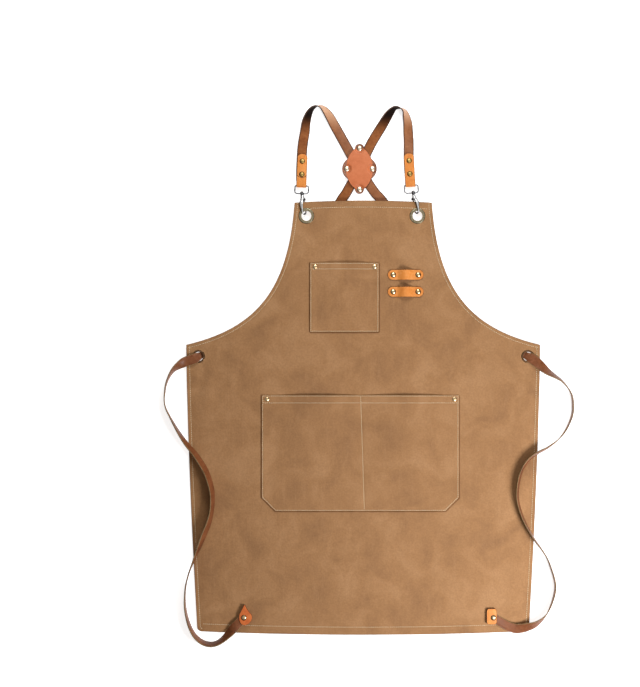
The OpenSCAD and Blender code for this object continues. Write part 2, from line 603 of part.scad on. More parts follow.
module left_shoulder_strap() color(strap_color)
    difference() {
        ribbon(moved_route(left_strap_route, -1));
        tab_place(-1) for (y = tab_rivets) translate([0, y, 0]) rivet_hole(8);
    }

module right_shoulder_strap() color(strap_color)
    difference() {
        ribbon(moved_route(right_strap_route, 1));
        tab_place(1) for (y = tab_rivets) translate([0, y, 0]) rivet_hole(8);
    }

module left_tie() color(strap_color)
    difference() {
        ribbon(left_tie_route);
        translate([left_tie_end[0], left_tie_end[1], 8]) rivet_hole(8);
    }

module right_tie() color(strap_color)
    difference() {
        ribbon(right_tie_route);
        translate([right_tie_end[0], right_tie_end[1], 8]) rivet_hole(8);
    }

// ---- Tabs that hold the eyes ----

// Children drawn with the eye's bar along X at the origin and the tab along +Y.
module tab_place(side) {
    boss = side < 0 ? left_boss : right_boss;
    lean = side < 0 ? left_eye_lean : right_eye_lean;
    shift = side < 0 ? left_eye_shift + left_tab_shift : right_eye_shift + right_tab_shift;
    translate([boss[0], boss[1], bar_z]) rotate([0, 0, lean])
        translate([shift, eye_h * cos(eye_pitch), 0]) children();
}

module tab_leaf()
    linear_extrude(leather_t) union() {
        translate([-tab_w / 2, 0]) square([tab_w, tab_len - 6]);
        for (s = [-1, 1]) translate([s * (tab_w / 2 - 6), tab_len - 6]) circle(r = 6, $fn = 32);
        translate([-tab_w / 2 + 6, tab_len - 7]) square([tab_w - 12, 7]);
    }

module strap_tab(side) color(tab_color)
    tab_place(side) difference() {
        union() {
            translate([0, 0, wrap_r]) tab_leaf();
            translate([0, 0, -wrap_r - leather_t]) tab_leaf();
            intersection() {
                translate([-tab_w / 2, 0, 0]) rotate([0, 90, 0]) difference() {
                    cylinder(r = wrap_r + leather_t, h = tab_w, $fn = 48);
                    translate([0, 0, -1]) cylinder(r = wrap_r, h = tab_w + 2, $fn = 48);
                }
                translate([-tab_w, -10, -10]) cube([2 * tab_w, 10, 20]);
            }
        }
        for (y = tab_rivets) translate([0, y, 0]) rivet_hole(8);
    }

tab_grip = 2 * (leather_t + wrap_r);
module left_strap_tab() strap_tab(-1);
module right_strap_tab() strap_tab(1);
module tab_rivet_pair(side) color(brass_color)
    tab_place(side) for (y = tab_rivets) translate([0, y, tab_grip / 2]) rivet(tab_grip);
module tab_back_pair(side) color(brass_color)
    tab_place(side) for (y = tab_rivets) translate([0, y, -tab_grip / 2]) rivet_back();
module left_tab_rivets() tab_rivet_pair(-1);
module right_tab_rivets() tab_rivet_pair(1);
module left_tab_rivet_backs() tab_back_pair(-1);
module right_tab_rivet_backs() tab_back_pair(1);

// ---- Crossing patch ----

module patch_oval() polygon([for (a = [0:7.5:359]) [patch_rx * cos(a), patch_ry * sin(a)]]);
module patch_outline() {
    patch_oval();
    for (s = [-1, 1]) translate([s * patch_side_x, 0]) circle(r = patch_side_r, $fn = 96);
    for (p = patch_lobes) translate(p) circle(r = lobe_r, $fn = 48);
}
wall_t = 1.2;
lobe_in = cap_r + 0.4;

// The front leaf: a raised middle over the straps and a lower lobe under each rivet's cap.
module patch_front() color(patch_color)
    translate([patch_mid[0], patch_mid[1], 0]) difference() {
        union() {
            translate([0, 0, patch_front_z]) linear_extrude(leather_t) difference() {
                patch_outline();
                for (p = patch_lobes) translate(p) circle(r = lobe_in, $fn = 48);
                for (s = [-1, 1]) translate([s * (patch_lobes[2][0] + 10), 0]) square([20, 16], center = true);
                for (s = [-1, 1]) translate([0, s * (patch_lobes[0][1] + 10)]) square([12, 20], center = true);
            }
            for (p = patch_lobes) translate([p[0], p[1], patch_lobe_z])
                cylinder(r = lobe_in + wall_t, h = leather_t, $fn = 48);
            for (p = patch_lobes) translate([0, 0, patch_lobe_z])
                linear_extrude(patch_front_z - patch_lobe_z + leather_t) intersection() {
                    translate(p) difference() {
                        circle(r = lobe_in + wall_t, $fn = 48);
                        circle(r = lobe_in, $fn = 48);
                    }
                    scale([0.92, 0.92]) patch_oval();
                }
        }
        for (p = patch_lobes) translate([p[0], p[1], patch_lobe_z]) rivet_hole(leather_t + 1);
    }

module patch_back() color(patch_color)
    translate([patch_mid[0], patch_mid[1], patch_back_z]) difference() {
        linear_extrude(leather_t) patch_outline();
        for (p = patch_lobes) translate(p) rivet_hole(5);
    }

patch_grip = patch_lobe_z + leather_t - patch_back_z;
module patch_rivets() color(brass_color)
    for (p = patch_lobes) translate([patch_mid[0] + p[0], patch_mid[1] + p[1], patch_lobe_z + leather_t])
        rivet(patch_grip);
module patch_rivet_backs() color(brass_color)
    for (p = patch_lobes) translate([patch_mid[0] + p[0], patch_mid[1] + p[1], patch_back_z]) rivet_back();

// ---- Tabs on the ends of the ties ----

tie_slot = strap_t + 2 * seat;
module tie_tab_body(outline_h) {
    linear_extrude(leather_t) children();
    translate([0, 0, leather_t + tie_slot]) linear_extrude(leather_t) children();
    linear_extrude(2 * leather_t + tie_slot) intersection() {
        children();
        translate([-15, outline_h - 4]) square([30, 20]);
    }
}

module left_tie_leaf()
    polygon([
        [-9, 1], [-8.6, 5], [-6.6, 10], [-2, 18.5], [0, 23.6], [1.2, 24.4], [2.6, 23.4], [6, 17], [10, 11],
        [14, 6.5], [15.8, 2.6], [15.8, -1.4], [14, -6.4], [10.6, -10.6], [6, -13.6], [1, -14.7], [-3.6, -13.2],
        [-7, -9.4], [-8.8, -4]]);

module right_tie_leaf()
    translate([-2.9, 2]) union() {
        square([19, 24], center = true);
        square([13, 30], center = true);
        for (s = [-1, 1]) for (t = [-1, 1]) translate([6.5 * s, 12 * t]) circle(r = 3, $fn = 32);
    }

tie_back_z = 5.1 + back_t;
module left_tie_tab() color(tab_color)
    translate([left_tie_end[0], left_tie_end[1], tie_back_z]) difference() {
        tie_tab_body(18) left_tie_leaf();
        rivet_hole(10);
    }

module right_tie_tab() color(tab_color)
    translate([right_tie_end[0], right_tie_end[1], tie_back_z]) difference() {
        union() {
            linear_extrude(leather_t) right_tie_leaf();
            translate([0, 0, leather_t + tie_slot]) linear_extrude(leather_t) right_tie_leaf();
            linear_extrude(2 * leather_t + tie_slot) intersection() {
                right_tie_leaf();
                translate([-20, -20]) square([9.4, 40]);
            }
        }
        rivet_hole(10);
    }

tie_grip = 2 * leather_t + tie_slot;
module tie_tab_rivet(at) color(brass_color)
    translate([at[0], at[1], tie_back_z]) {
        translate([0, 0, tie_grip]) rivet(tie_grip);
        translate([0, 0, 0]) rivet_back();
    }
module left_tie_tab_rivet() tie_tab_rivet(left_tie_end);
module right_tie_tab_rivet() tie_tab_rivet(right_tie_end);

// ---- Snap hooks ----

// Children drawn in the hook's own frame, with its boss at the origin.
module hook_place(side)
    if (side < 0)
        translate(left_boss) rotate([0, 0, left_lean]) rotate([0, hook_tilt, 0]) children();
    else
        translate(right_boss) rotate([0, 0, right_lean]) mirror([1, 0, 0]) rotate([0, hook_tilt, 0])
            children();

module rod(a, b, r) {
    d = b - a;
    translate(a) rotate([0, 0, atan2(d[1], d[0])]) rotate([0, 90, 0]) cylinder(r = r, h = norm(d), $fn = 32);
}

// The eye's ring, drawn with its bottom bar's middle at the origin and its top bar at +Y.
module eye_ring() {
    half = eye_w / 2 - eye_r;
    low_r = 5;
    top_r = 2;
    rod([-half + low_r, 0, 0], [half - low_r, 0, 0], eye_r);
    rod([-half + top_r, eye_h, 0], [half - top_r, eye_h, 0], eye_r);
    for (s = [-1, 1]) rod([s * half, low_r, 0], [s * half, eye_h - top_r, 0], eye_r);
    for (s = [-1, 1]) for (corner = [[low_r, low_r, s > 0 ? -90 : 180], [top_r, eye_h - top_r, s > 0 ? 0 : 90]])
        translate([s * (half - corner[0]), corner[1], 0]) rotate([0, 0, corner[2]])
            rotate_extrude(angle = 90, $fn = 48) translate([corner[0], 0]) circle(r = eye_r, $fn = 32);
}

// The swivel's boss, bored for the hook's shank, along the hook's own Y.
module boss_body()
    rotate([-90, 0, 0]) translate([0, 0, -boss_len / 2]) cylinder(r = boss_r, h = boss_len, $fn = 48);
module boss_bore()
    rotate([-90, 0, 0]) translate([0, 0, -boss_len])
        cylinder(r = shank_r + run_fit, h = 2 * boss_len, $fn = 48);

module snap_eye(side) color(steel_color) {
    boss = side < 0 ? left_boss : right_boss;
    lean = side < 0 ? left_eye_lean : right_eye_lean;
    shift = side < 0 ? left_eye_shift : right_eye_shift;
    difference() {
        union() {
            translate(boss) rotate([0, 0, lean]) translate([shift, 0, 0]) rotate([-eye_pitch, 0, 0]) eye_ring();
            hook_place(side) boss_body();
        }
        hook_place(side) boss_bore();
    }
}

// The hook: peened shank, collar, shoulder with two ears for the gate, spine, bend and tip.
module hook_body() {
    head_gap = 0.2;
    rotate([-90, 0, 0]) translate([0, 0, boss_len / 2 + head_gap]) cylinder(r = 2.1, h = 1.3, $fn = 48);
    rotate([90, 0, 0]) translate([0, 0, -boss_len / 2 - head_gap - 0.5])
        cylinder(r = shank_r, h = boss_len + 4, $fn = 48);
    rotate([90, 0, 0]) translate([0, 0, boss_len / 2 + head_gap])
        cylinder(r = collar_r, h = -collar_end - boss_len / 2 - head_gap, $fn = 48);
    rod([-bend_r, bend_y, 0], [-bend_r, pin_y, 0], hook_r);
    difference() {
        translate([-bend_r - hook_r + 0.3, pin_y - 0.6, -fork_w / 2])
            cube([bend_r + hook_r - 0.3 + pin_x, collar_end + 0.6 - pin_y + 0.6, fork_w]);
        translate([pin_x - ear_r - 1.1, pin_y - 3, -fork_gap / 2]) cube([ear_r + 6, 9, fork_gap]);
    }
    for (s = [-1, 1]) translate([pin_x, pin_y, s * (fork_gap + ear_t) / 2]) difference() {
        cylinder(r = ear_r, h = ear_t, center = true, $fn = 48);
    }
    translate([0, bend_y, 0]) rotate([0, 0, 180]) rotate_extrude(angle = 180, $fn = 96)
        translate([bend_r, 0]) circle(r = hook_r, $fn = 48);
    rod([bend_r, bend_y - 0.01, 0], [bend_r, hook_tip_y, 0], hook_r);
}
hook_tip_y = pin_y - gate_len - 0.4;

module snap_hook(side) color(steel_color)
    hook_place(side) difference() {
        hook_body();
        translate([pin_x, pin_y, -fork_w]) cylinder(r = pin_r + run_fit, h = 2 * fork_w, $fn = 48);
    }

// The gate: a barrel on the pin, an arm down to the hook's tip and a thumb lever beside the collar.
module gate_body() {
    tip = [bend_r, pin_y - gate_len, 0];
    arm = tip - [pin_x, pin_y, 0];
    z0 = -fork_gap / 2 + 0.1;
    difference() {
        union() {
            translate([pin_x, pin_y, z0]) cylinder(r = 1.7, h = gate_w, $fn = 48);
            translate([pin_x, pin_y, z0 + gate_w / 2]) rotate([0, 0, atan2(arm[1], arm[0])])
                translate([0, -1.2, -gate_w / 2]) cube([norm(arm), 2.4, gate_w]);
            translate([pin_x, pin_y, z0]) rotate([0, 0, 52]) translate([0, -0.9, 0]) cube([4.6, 1.8, gate_w]);
        }
        translate([pin_x, pin_y, -5]) cylinder(r = pin_r + run_fit, h = 10, $fn = 48);
    }
}

module snap_gate(side) color(steel_color) hook_place(side) gate_body();
module gate_pin(side) color(steel_color)
    hook_place(side) translate([pin_x, pin_y, -fork_w / 2]) cylinder(r = pin_r, h = fork_w, $fn = 48);

// Two turns of spring wire on the pin, between the gate's barrel and the fork's far ear.
module gate_spring(side) color(steel_color)
    hook_place(side) translate([pin_x, pin_y, fork_gap / 2 - 3 * spring_wire_r - 0.1])
        for (k = [0, 1]) translate([0, 0, k * 2 * spring_wire_r])
            rotate_extrude($fn = 48) translate([pin_r + spring_wire_r + 0.1, 0])
                square([2 * spring_wire_r, 2 * spring_wire_r], center = true);

module left_eye() snap_eye(-1);
module right_eye() snap_eye(1);
module left_hook() snap_hook(-1);
module right_hook() snap_hook(1);
module left_gate() snap_gate(-1);
module right_gate() snap_gate(1);
module left_gate_pin() gate_pin(-1);
module right_gate_pin() gate_pin(1);
module left_gate_spring() gate_spring(-1);
module right_gate_spring() gate_spring(1);

canvas_panel();
top_hem();
bottom_hem();
left_side_hem();
right_side_hem();
left_armhole_hem();
right_armhole_hem();
chest_pocket();
chest_pocket_hem();
chest_pocket_rivets();
lower_pocket();
lower_pocket_hem();
lower_pocket_rivets();
upper_pen_loop();
lower_pen_loop();
pen_loop_rivets();
cloth_rivet_backs();
left_bib_grommet();
right_bib_grommet();
left_bib_washer();
right_bib_washer();
left_waist_grommet();
right_waist_grommet();
left_waist_washer();
right_waist_washer();
left_shoulder_strap();
right_shoulder_strap();
left_tie();
right_tie();
left_strap_tab();
right_strap_tab();
left_tab_rivets();
right_tab_rivets();
left_tab_rivet_backs();
right_tab_rivet_backs();
patch_front();
patch_back();
patch_rivets();
patch_rivet_backs();
left_tie_tab();
right_tie_tab();
left_tie_tab_rivet();
right_tie_tab_rivet();
left_eye();
right_eye();
left_hook();
right_hook();
left_gate();
right_gate();
left_gate_pin();
right_gate_pin();
left_gate_spring();
right_gate_spring();
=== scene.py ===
"""Builds the look of a cross-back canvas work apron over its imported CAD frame."""

import logging
import math
from dataclasses import dataclass, field
from enum import Enum
from typing import Callable, Optional, Sequence

import bpy
import numpy as np
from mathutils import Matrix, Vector, noise
from mathutils.geometry import delaunay_2d_cdt


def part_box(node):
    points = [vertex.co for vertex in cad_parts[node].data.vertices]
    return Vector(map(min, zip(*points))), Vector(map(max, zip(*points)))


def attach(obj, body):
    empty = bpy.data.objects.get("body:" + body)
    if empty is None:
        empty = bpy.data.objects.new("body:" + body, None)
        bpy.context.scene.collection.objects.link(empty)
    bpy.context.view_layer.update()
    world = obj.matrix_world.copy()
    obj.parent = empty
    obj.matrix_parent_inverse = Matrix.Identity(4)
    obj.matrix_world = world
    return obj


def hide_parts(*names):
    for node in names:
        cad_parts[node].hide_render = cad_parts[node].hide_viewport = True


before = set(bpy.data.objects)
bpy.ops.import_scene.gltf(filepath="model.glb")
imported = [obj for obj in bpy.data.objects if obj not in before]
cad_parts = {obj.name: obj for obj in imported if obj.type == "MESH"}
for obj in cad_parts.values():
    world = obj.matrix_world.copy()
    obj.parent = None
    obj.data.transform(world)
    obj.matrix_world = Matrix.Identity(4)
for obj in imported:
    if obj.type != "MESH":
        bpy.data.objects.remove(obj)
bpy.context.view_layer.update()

LOG = logging.getLogger("apron")
MM = 0.001
FAR = 1e3  # stands for a place away from every edge
Point2 = tuple[float, float]
Piece = bpy.types.Object
Rows = np.ndarray
Height = Callable[[Rows, Rows, Rows], Rows]


class Side(Enum):
    """The two sides of the apron, as it lies: LEFT is at -X."""

    LEFT = "left"
    RIGHT = "right"

    @property
    def sign(self) -> int:
        """-1 for the left side and 1 for the right."""
        return -1 if self is Side.LEFT else 1


# ---- small tools


def linear(code: str) -> tuple[float, float, float, float]:
    """Turns an sRGB hex colour into linear RGBA.

    Args:
        code: six hex digits, with or without a leading hash.

    Returns:
        Red, green, blue and alpha from 0 to 1.
    """
    digits = code.lstrip("#")
    values = [int(digits[i:i + 2], 16) / 255 for i in (0, 2, 4)]
    out = [v / 12.92 if v <= 0.04045 else ((v + 0.055) / 1.055) ** 2.4 for v in values]
    return out[0], out[1], out[2], 1.0


def smooth(value: Rows) -> Rows:
    """Eases a value from 0 to 1 with level ends."""
    v = np.clip(value, 0.0, 1.0)
    return v * v * (3 - 2 * v)


def between(before: Rows, a: Rows, b: Rows, after: Rows, t: float) -> Rows:
    """Point of the smooth curve that runs through four points in turn.

    Args:
        before: the point before a.
        a: where this stretch starts.
        b: where it ends.
        after: the point after b.
        t: how far along the stretch, from 0 to 1.

    Returns:
        The point.
    """
    return 0.5 * (2 * a + (b - before) * t + (2 * before - 5 * a + 4 * b - after) * t * t
                  + (3 * a - before - 3 * b + after) * t ** 3)


def add_node(tree: bpy.types.NodeTree, kind: str, inputs: Optional[dict] = None,
             **props: object) -> bpy.types.Node:
    """Adds one shader node with its settings and links.

    Args:
        tree: the material's or world's node tree.
        kind: the node's type name after ShaderNode.
        inputs: input name or number to a value, or to an output socket that feeds it.
        props: settings of the node itself.

    Returns:
        The new node.
    """
    node = tree.nodes.new("ShaderNode" + kind)
    for name, value in props.items():
        setattr(node, name, value)
    for name, value in (inputs or {}).items():
        if isinstance(value, bpy.types.NodeSocket):
            tree.links.new(value, node.inputs[name])
        else:
            node.inputs[name].default_value = value
    return node


def blank_material(name: str) -> tuple[bpy.types.Material, bpy.types.NodeTree]:
    """Starts a material with no nodes.

    Args:
        name: the material's name.

    Returns:
        The material and its node tree.
    """
    mat = bpy.data.materials.new(name)
    mat.use_nodes = True
    mat.node_tree.nodes.clear()
    return mat, mat.node_tree


def mesh_piece(name: str, points: Rows, faces: Sequence[Sequence[int]],
               finishes: Sequence[bpy.types.Material], slots: Optional[Sequence[int]] = None,
               body: str = "apron") -> Piece:
    """Makes an object from points in millimetres and puts it on a body.

    Args:
        name: the piece's name.
        points: an array of x, y and z in millimetres, in the row frame.
        faces: point numbers of each face.
        finishes: the materials of its slots.
        slots: the material slot of each face, or None for the first.
        body: the CAD body that it rides on.

    Returns:
        The new object.
    """
    mesh = bpy.data.meshes.new(name)
    mesh.from_pydata((np.asarray(points) * MM).tolist(), [], [list(f) for f in faces])
    for finish in finishes:
        mesh.materials.append(finish)
    if slots is not None:
        mesh.polygons.foreach_set("material_index", list(slots))
    mesh.polygons.foreach_set("use_smooth", [True] * len(mesh.polygons))
    mesh.update()
    piece = bpy.data.objects.new(name, mesh)
    bpy.context.scene.collection.objects.link(piece)
    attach(piece, body)
    LOG.info("%s: %d points, %d faces", name, len(mesh.vertices), len(mesh.polygons))
    return piece


def box_mm(node: str) -> tuple[Rows, Rows]:
    """Lowest and highest corner of a CAD node, in millimetres."""
    low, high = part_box(node)
    return np.array(low) / MM, np.array(high) / MM


def resample(points: Sequence[Point2], step: float, closed: bool = False) -> Rows:
    """Puts points at an even step on a line and keeps its own points.

    Args:
        points: the line's points.
        step: the longest distance between two points.
        closed: whether the last point joins the first.

    Returns:
        The new points, as rows of x and y.
    """
    pts = [np.array(p, float) for p in points]
    ends = pts + [pts[0]] if closed else pts
    out = []
    for a, b in zip(ends[:-1], ends[1:]):
        n = max(1, math.ceil(np.linalg.norm(b - a) / step - 1e-6))
        out += [a + (b - a) * i / n for i in range(n)]
    if not closed:
        out.append(ends[-1])
    return np.array(out)


def inset(outline: Rows, depth: float, closed: bool = True) -> Rows:
    """Moves a line to its left by a depth, which is inwards for an anticlockwise outline.

    Args:
        outline: the line's points.
        depth: how far it moves.
        closed: whether the last point joins the first.

    Returns:
        The moved points.
    """
    back, ahead = np.roll(outline, 1, 0), np.roll(outline, -1, 0)
    if not closed:
        back[0], ahead[-1] = outline[0], outline[-1]
    d1, d2 = outline - back, ahead - outline
    if not closed:
        d1[0], d2[-1] = d2[0], d1[-1]
    d1 /= np.linalg.norm(d1, axis=1)[:, None] + 1e-12
    d2 /= np.linalg.norm(d2, axis=1)[:, None] + 1e-12
    n1, n2 = np.stack([-d1[:, 1], d1[:, 0]], 1), np.stack([-d2[:, 1], d2[:, 0]], 1)
    n = n1 + n2
    n /= np.linalg.norm(n, axis=1)[:, None] + 1e-12
    stretch = 1 / np.clip((n * n1).sum(1), 0.5, 1)
    return outline + n * (stretch * depth)[:, None]


def inside(points: Rows, outline: Rows) -> Rows:
    """Tells which points lie inside a closed outline.

    Args:
        points: rows of x and y.
        outline: the outline's points.

    Returns:
        True for each point that lies inside.
    """
    x, y = points[:, 0], points[:, 1]
    hit = np.zeros(len(points), bool)
    for a, b in zip(outline, np.roll(outline, -1, 0)):
        if a[1] == b[1]:
            continue
        crosses = ((a[1] > y) != (b[1] > y)) & (x < (b[0] - a[0]) * (y - a[1]) / (b[1] - a[1]) + a[0])
        hit ^= crosses
    return hit


@dataclass
class CutSheet:
    """A sheet of cloth or leather cut to an outline, with a rounded edge all round.

    Attributes:
        outline: its anticlockwise outline in millimetres.
        top: height of its upper face at x, y and the distance d from the edge.
        under: height of its lower face there.
        step: distance between points in the middle of the sheet.
        edge: radius of its rounded edge.
        bands: distances from the edge at which the mesh gets a line of its own.
        holes: centre and radius of each round hole.
        lines: extra lines that the mesh follows.
        rim: width of the strip of edge finish on its faces, where that is wider than the rounded edge.
        hole_points: how many points go round each hole.
        thinnest: the least thickness that it may have.
    """

    outline: Rows
    top: Height
    under: Height
    step: float = 4.0
    edge: float = 0.5
    bands: Sequence[float] = ()
    holes: Sequence[tuple[float, float, float]] = ()
    lines: Sequence[Rows] = ()
    rim: float = 0.0
    hole_points: int = 40
    thinnest: float = 0.05

    def laid_out(self) -> tuple[list, list, list]:
        """Places the sheet's points: rings inside its outline, hole rims, extra lines and a staggered grid.

        Returns:
            The points, each one's distance from an edge, and the pairs that the mesh must join.
        """
        depths = sorted({0.0, self.edge * 0.12, self.edge * 0.45, self.edge, *self.bands})
        points, lengths, joins = [], [], []
        for depth in depths:
            ring = inset(self.outline, depth) if depth else self.outline
            start, n = len(points), len(ring)
            points += ring.tolist()
            lengths += [depth] * n
            joins += [(start + i, start + (i + 1) % n) for i in range(n)]
        low, high = self.outline.min(0), self.outline.max(0)
        gx, gy = np.meshgrid(np.arange(low[0] + self.step / 2, high[0], self.step),
                             np.arange(low[1] + self.step / 2, high[1], self.step))
        gx = gx + (np.arange(gx.shape[0]) % 2 * self.step / 2)[:, None]
        grid = np.stack([gx.ravel(), gy.ravel()], 1)
        keep = inside(grid, inset(self.outline, depths[-1] + 0.55 * self.step))
        for x, y, r in self.holes:
            keep &= np.hypot(grid[:, 0] - x, grid[:, 1] - y) > r + self.step * 0.6
            start, n = len(points), self.hole_points
            joins += [(start + i, start + (i + 1) % n) for i in range(n)]
            for grow in (0.0, 0.5, 1.6):
                points += [[x + (r + grow) * math.cos(2 * math.pi * i / n),
                            y + (r + grow) * math.sin(2 * math.pi * i / n)] for i in range(n)]
                lengths += [grow] * n
        for line in self.lines:
            gap = np.hypot(grid[:, None, 0] - line[None, ::2, 0], grid[:, None, 1] - line[None, ::2, 1])
            keep &= np.min(gap, 1) > self.step * 0.6
            start = len(points)
            points += line.tolist()
            lengths += [FAR] * len(line)
            joins += [(start + i, start + i + 1) for i in range(len(line) - 1)]
        grid = grid[keep]
        return points + grid.tolist(), lengths + [FAR] * len(grid), joins

    def kept(self, xy: Rows, tri: Rows) -> Rows:
        """Keeps the triangles that lie on the sheet, and turns each one face up.

        Args:
            xy: the mesh's points.
            tri: point numbers of each triangle.

        Returns:
            Point numbers of the triangles that stay.
        """
        mid = xy[tri].mean(1)
        good = inside(mid, self.outline)
        for x, y, r in self.holes:
            good &= np.hypot(mid[:, 0] - x, mid[:, 1] - y) > r * 0.995
        tri = tri[good]
        a, b = xy[tri[:, 1]] - xy[tri[:, 0]], xy[tri[:, 2]] - xy[tri[:, 0]]
        face_down = a[:, 0] * b[:, 1] - a[:, 1] * b[:, 0] < 0
        tri[face_down] = tri[face_down][:, ::-1]
        return tri

    def build(self) -> tuple[Rows, list, list]:
        """Meshes the sheet.

        Returns:
            Its points, its faces, and a slot for each face: 0 on the upper face, 1 on the edge, 2 below.
        """
        e = self.edge
        points, lengths, joins = self.laid_out()
        flat, _, tris, origin, _, _ = delaunay_2d_cdt([Vector(p) for p in points], joins, [], 1, 1e-4)
        xy = np.array([[v.x, v.y] for v in flat])
        dist = np.array([min((lengths[i] for i in o), default=FAR) for o in origin])
        tri = self.kept(xy, np.array([t for t in tris if len(t) == 3]))
        drop = e * (1 - np.sqrt(np.clip(1 - (1 - np.clip(dist, 0, e) / e) ** 2, 0, 1)))
        upper = self.top(xy[:, 0], xy[:, 1], dist) - drop
        lower = np.minimum(self.under(xy[:, 0], xy[:, 1], dist) + drop, upper - self.thinnest)
        n = len(xy)
        verts = np.concatenate([np.column_stack([xy, upper]), np.column_stack([xy, lower])])
        sides = {(u, v) for a, b, c in tri.tolist() for u, v in ((a, b), (b, c), (c, a))}
        rim = [(u, v) for a, b, c in tri.tolist() for u,
               v in ((a, b), (b, c), (c, a)) if (v, u) not in sides]
        faces = tri.tolist() + (tri[:, ::-1] + n).tolist() + [[v, u, u + n, v + n] for u, v in rim]
        edge_tri = (dist[tri] <= max(e, self.rim) * 1.01).all(1)
        slots = np.where(edge_tri, 1, 0).tolist() + np.where(edge_tri, 1, 2).tolist() + [1] * len(rim)
        used = np.unique(np.concatenate([np.array(f) for f in faces]))
        number = {int(o): i for i, o in enumerate(used)}
        return verts[used], [[number[i] for i in f] for f in faces], slots


@dataclass
class Band:
    """A flat strap or leaf of leather swept along a line, with burnished edges and a creased border.

    Attributes:
        centres: points on its middle line, in millimetres.
        across: direction of its width at each point.
        widths: its width at each point.
        thickness: its thickness.
        crease: distance from each edge to the pressed border line, or 0 for none.
        dark_border: whether the edge's dark wax runs in as far as that line.
        round_off: size of the rounding at its edges.
        groove: half width, depth and full width of the pressed line.
    """

    centres: Rows
    across: Rows
    widths: Rows
    thickness: float
    crease: float = 2.3
    dark_border: bool = False
    round_off: float = 0.75
    groove: tuple[float, float, float] = (0.35, 0.22, 0.8)

    def section(self, width: float) -> list[tuple[float, float, int]]:
        """Draws the cross-section.

        Args:
            width: the band's width there.

        Returns:
            Each point's place across and up, and the slot of the face after it.
        """
        a, b = width / 2, self.thickness / 2
        e = min(self.round_off, a * 0.3)
        c = min(self.crease, a * 0.5)
        side = [(a, -b + e, 1), (a, b - e, 1), (a - 0.3 * e, b - 0.3 * e, 1), (a - e, b, 0)]
        middle_x, deep, wide = self.groove
        line = [(a - c, b, 0), (a - c - middle_x, b - deep, 0), (a - c - wide, b, 0)] if self.crease else []
        middle = [(a * 0.4, b, 0), (0.0, b, 0)]
        half = side + line + middle
        other = [(-x, y, s) for x, y, s in reversed(half[:-1])]
        top = half + other
        below = [(-x, -y, s) for x, y, s in half[1:]]
        below_other = [(x, -y, s) for x, y, s in reversed(half[1:-1])]
        ring = top + below[:-1] + [(0.0, -b, 0)] + below_other
        border = c + 0.1 if self.crease and self.dark_border else e * 1.01
        out = []
        for i, (x, y, _) in enumerate(ring):
            nx, ny, _ = ring[(i + 1) % len(ring)]
            face = 0 if y + ny > 0 else 2
            out.append((x, y, 1 if abs(x + nx) / 2 > a - border else face))
        return out

    def build(self) -> tuple[Rows, list, list]:
        """Meshes the band.

        Returns:
            Its points, its faces and the slot of each face: 0 on the upper face, 1 on the edges, 2 below.
        """
        n = len(self.centres)
        way = np.gradient(self.centres, axis=0)
        way /= np.linalg.norm(way, axis=1)[:, None]
        across = self.across - (self.across * way).sum(1)[:, None] * way
        across /= np.linalg.norm(across, axis=1)[:, None]
        up = np.cross(across, way)
        verts, slots = [], []
        k = len(self.section(10))
        for i in range(n):
            for x, y, _ in self.section(self.widths[i]):
                verts.append(self.centres[i] + x * across[i] + y * up[i])
        faces = []
        tags = [s for _, _, s in self.section(self.widths[n // 2])]
        for i in range(n - 1):
            for j in range(k):
                a, b = i * k + j, i * k + (j + 1) % k
                faces.append([a, b, b + k, a + k])
                slots.append(tags[j])
        for base, flip in ((0, True), ((n - 1) * k, False)):
            cap = list(range(base, base + k))
            faces.append(cap[::-1] if flip else cap)
            slots.append(1)
        return np.array(verts), faces, slots


def rounded_ends(lengths: Rows, width: float, corner: float, start: bool, end: bool) -> Rows:
    """Widths along a band whose ends have rounded corners.

    Args:
        lengths: distance along the band of each point.
        width: its full width.
        corner: radius of the corners.
        start: whether the first end is rounded.
        end: whether the last end is rounded.

    Returns:
        The width at each point.
    """
    cut = np.zeros(len(lengths))
    if start:
        s = np.clip(1 - (lengths - lengths[0]) / corner, 0, 1)
        cut = np.maximum(cut, corner * (1 - np.sqrt(1 - s ** 2)))
    if end:
        s = np.clip(1 - (lengths[-1] - lengths) / corner, 0, 1)
        cut = np.maximum(cut, corner * (1 - np.sqrt(1 - s ** 2)))
    return width - 2 * cut


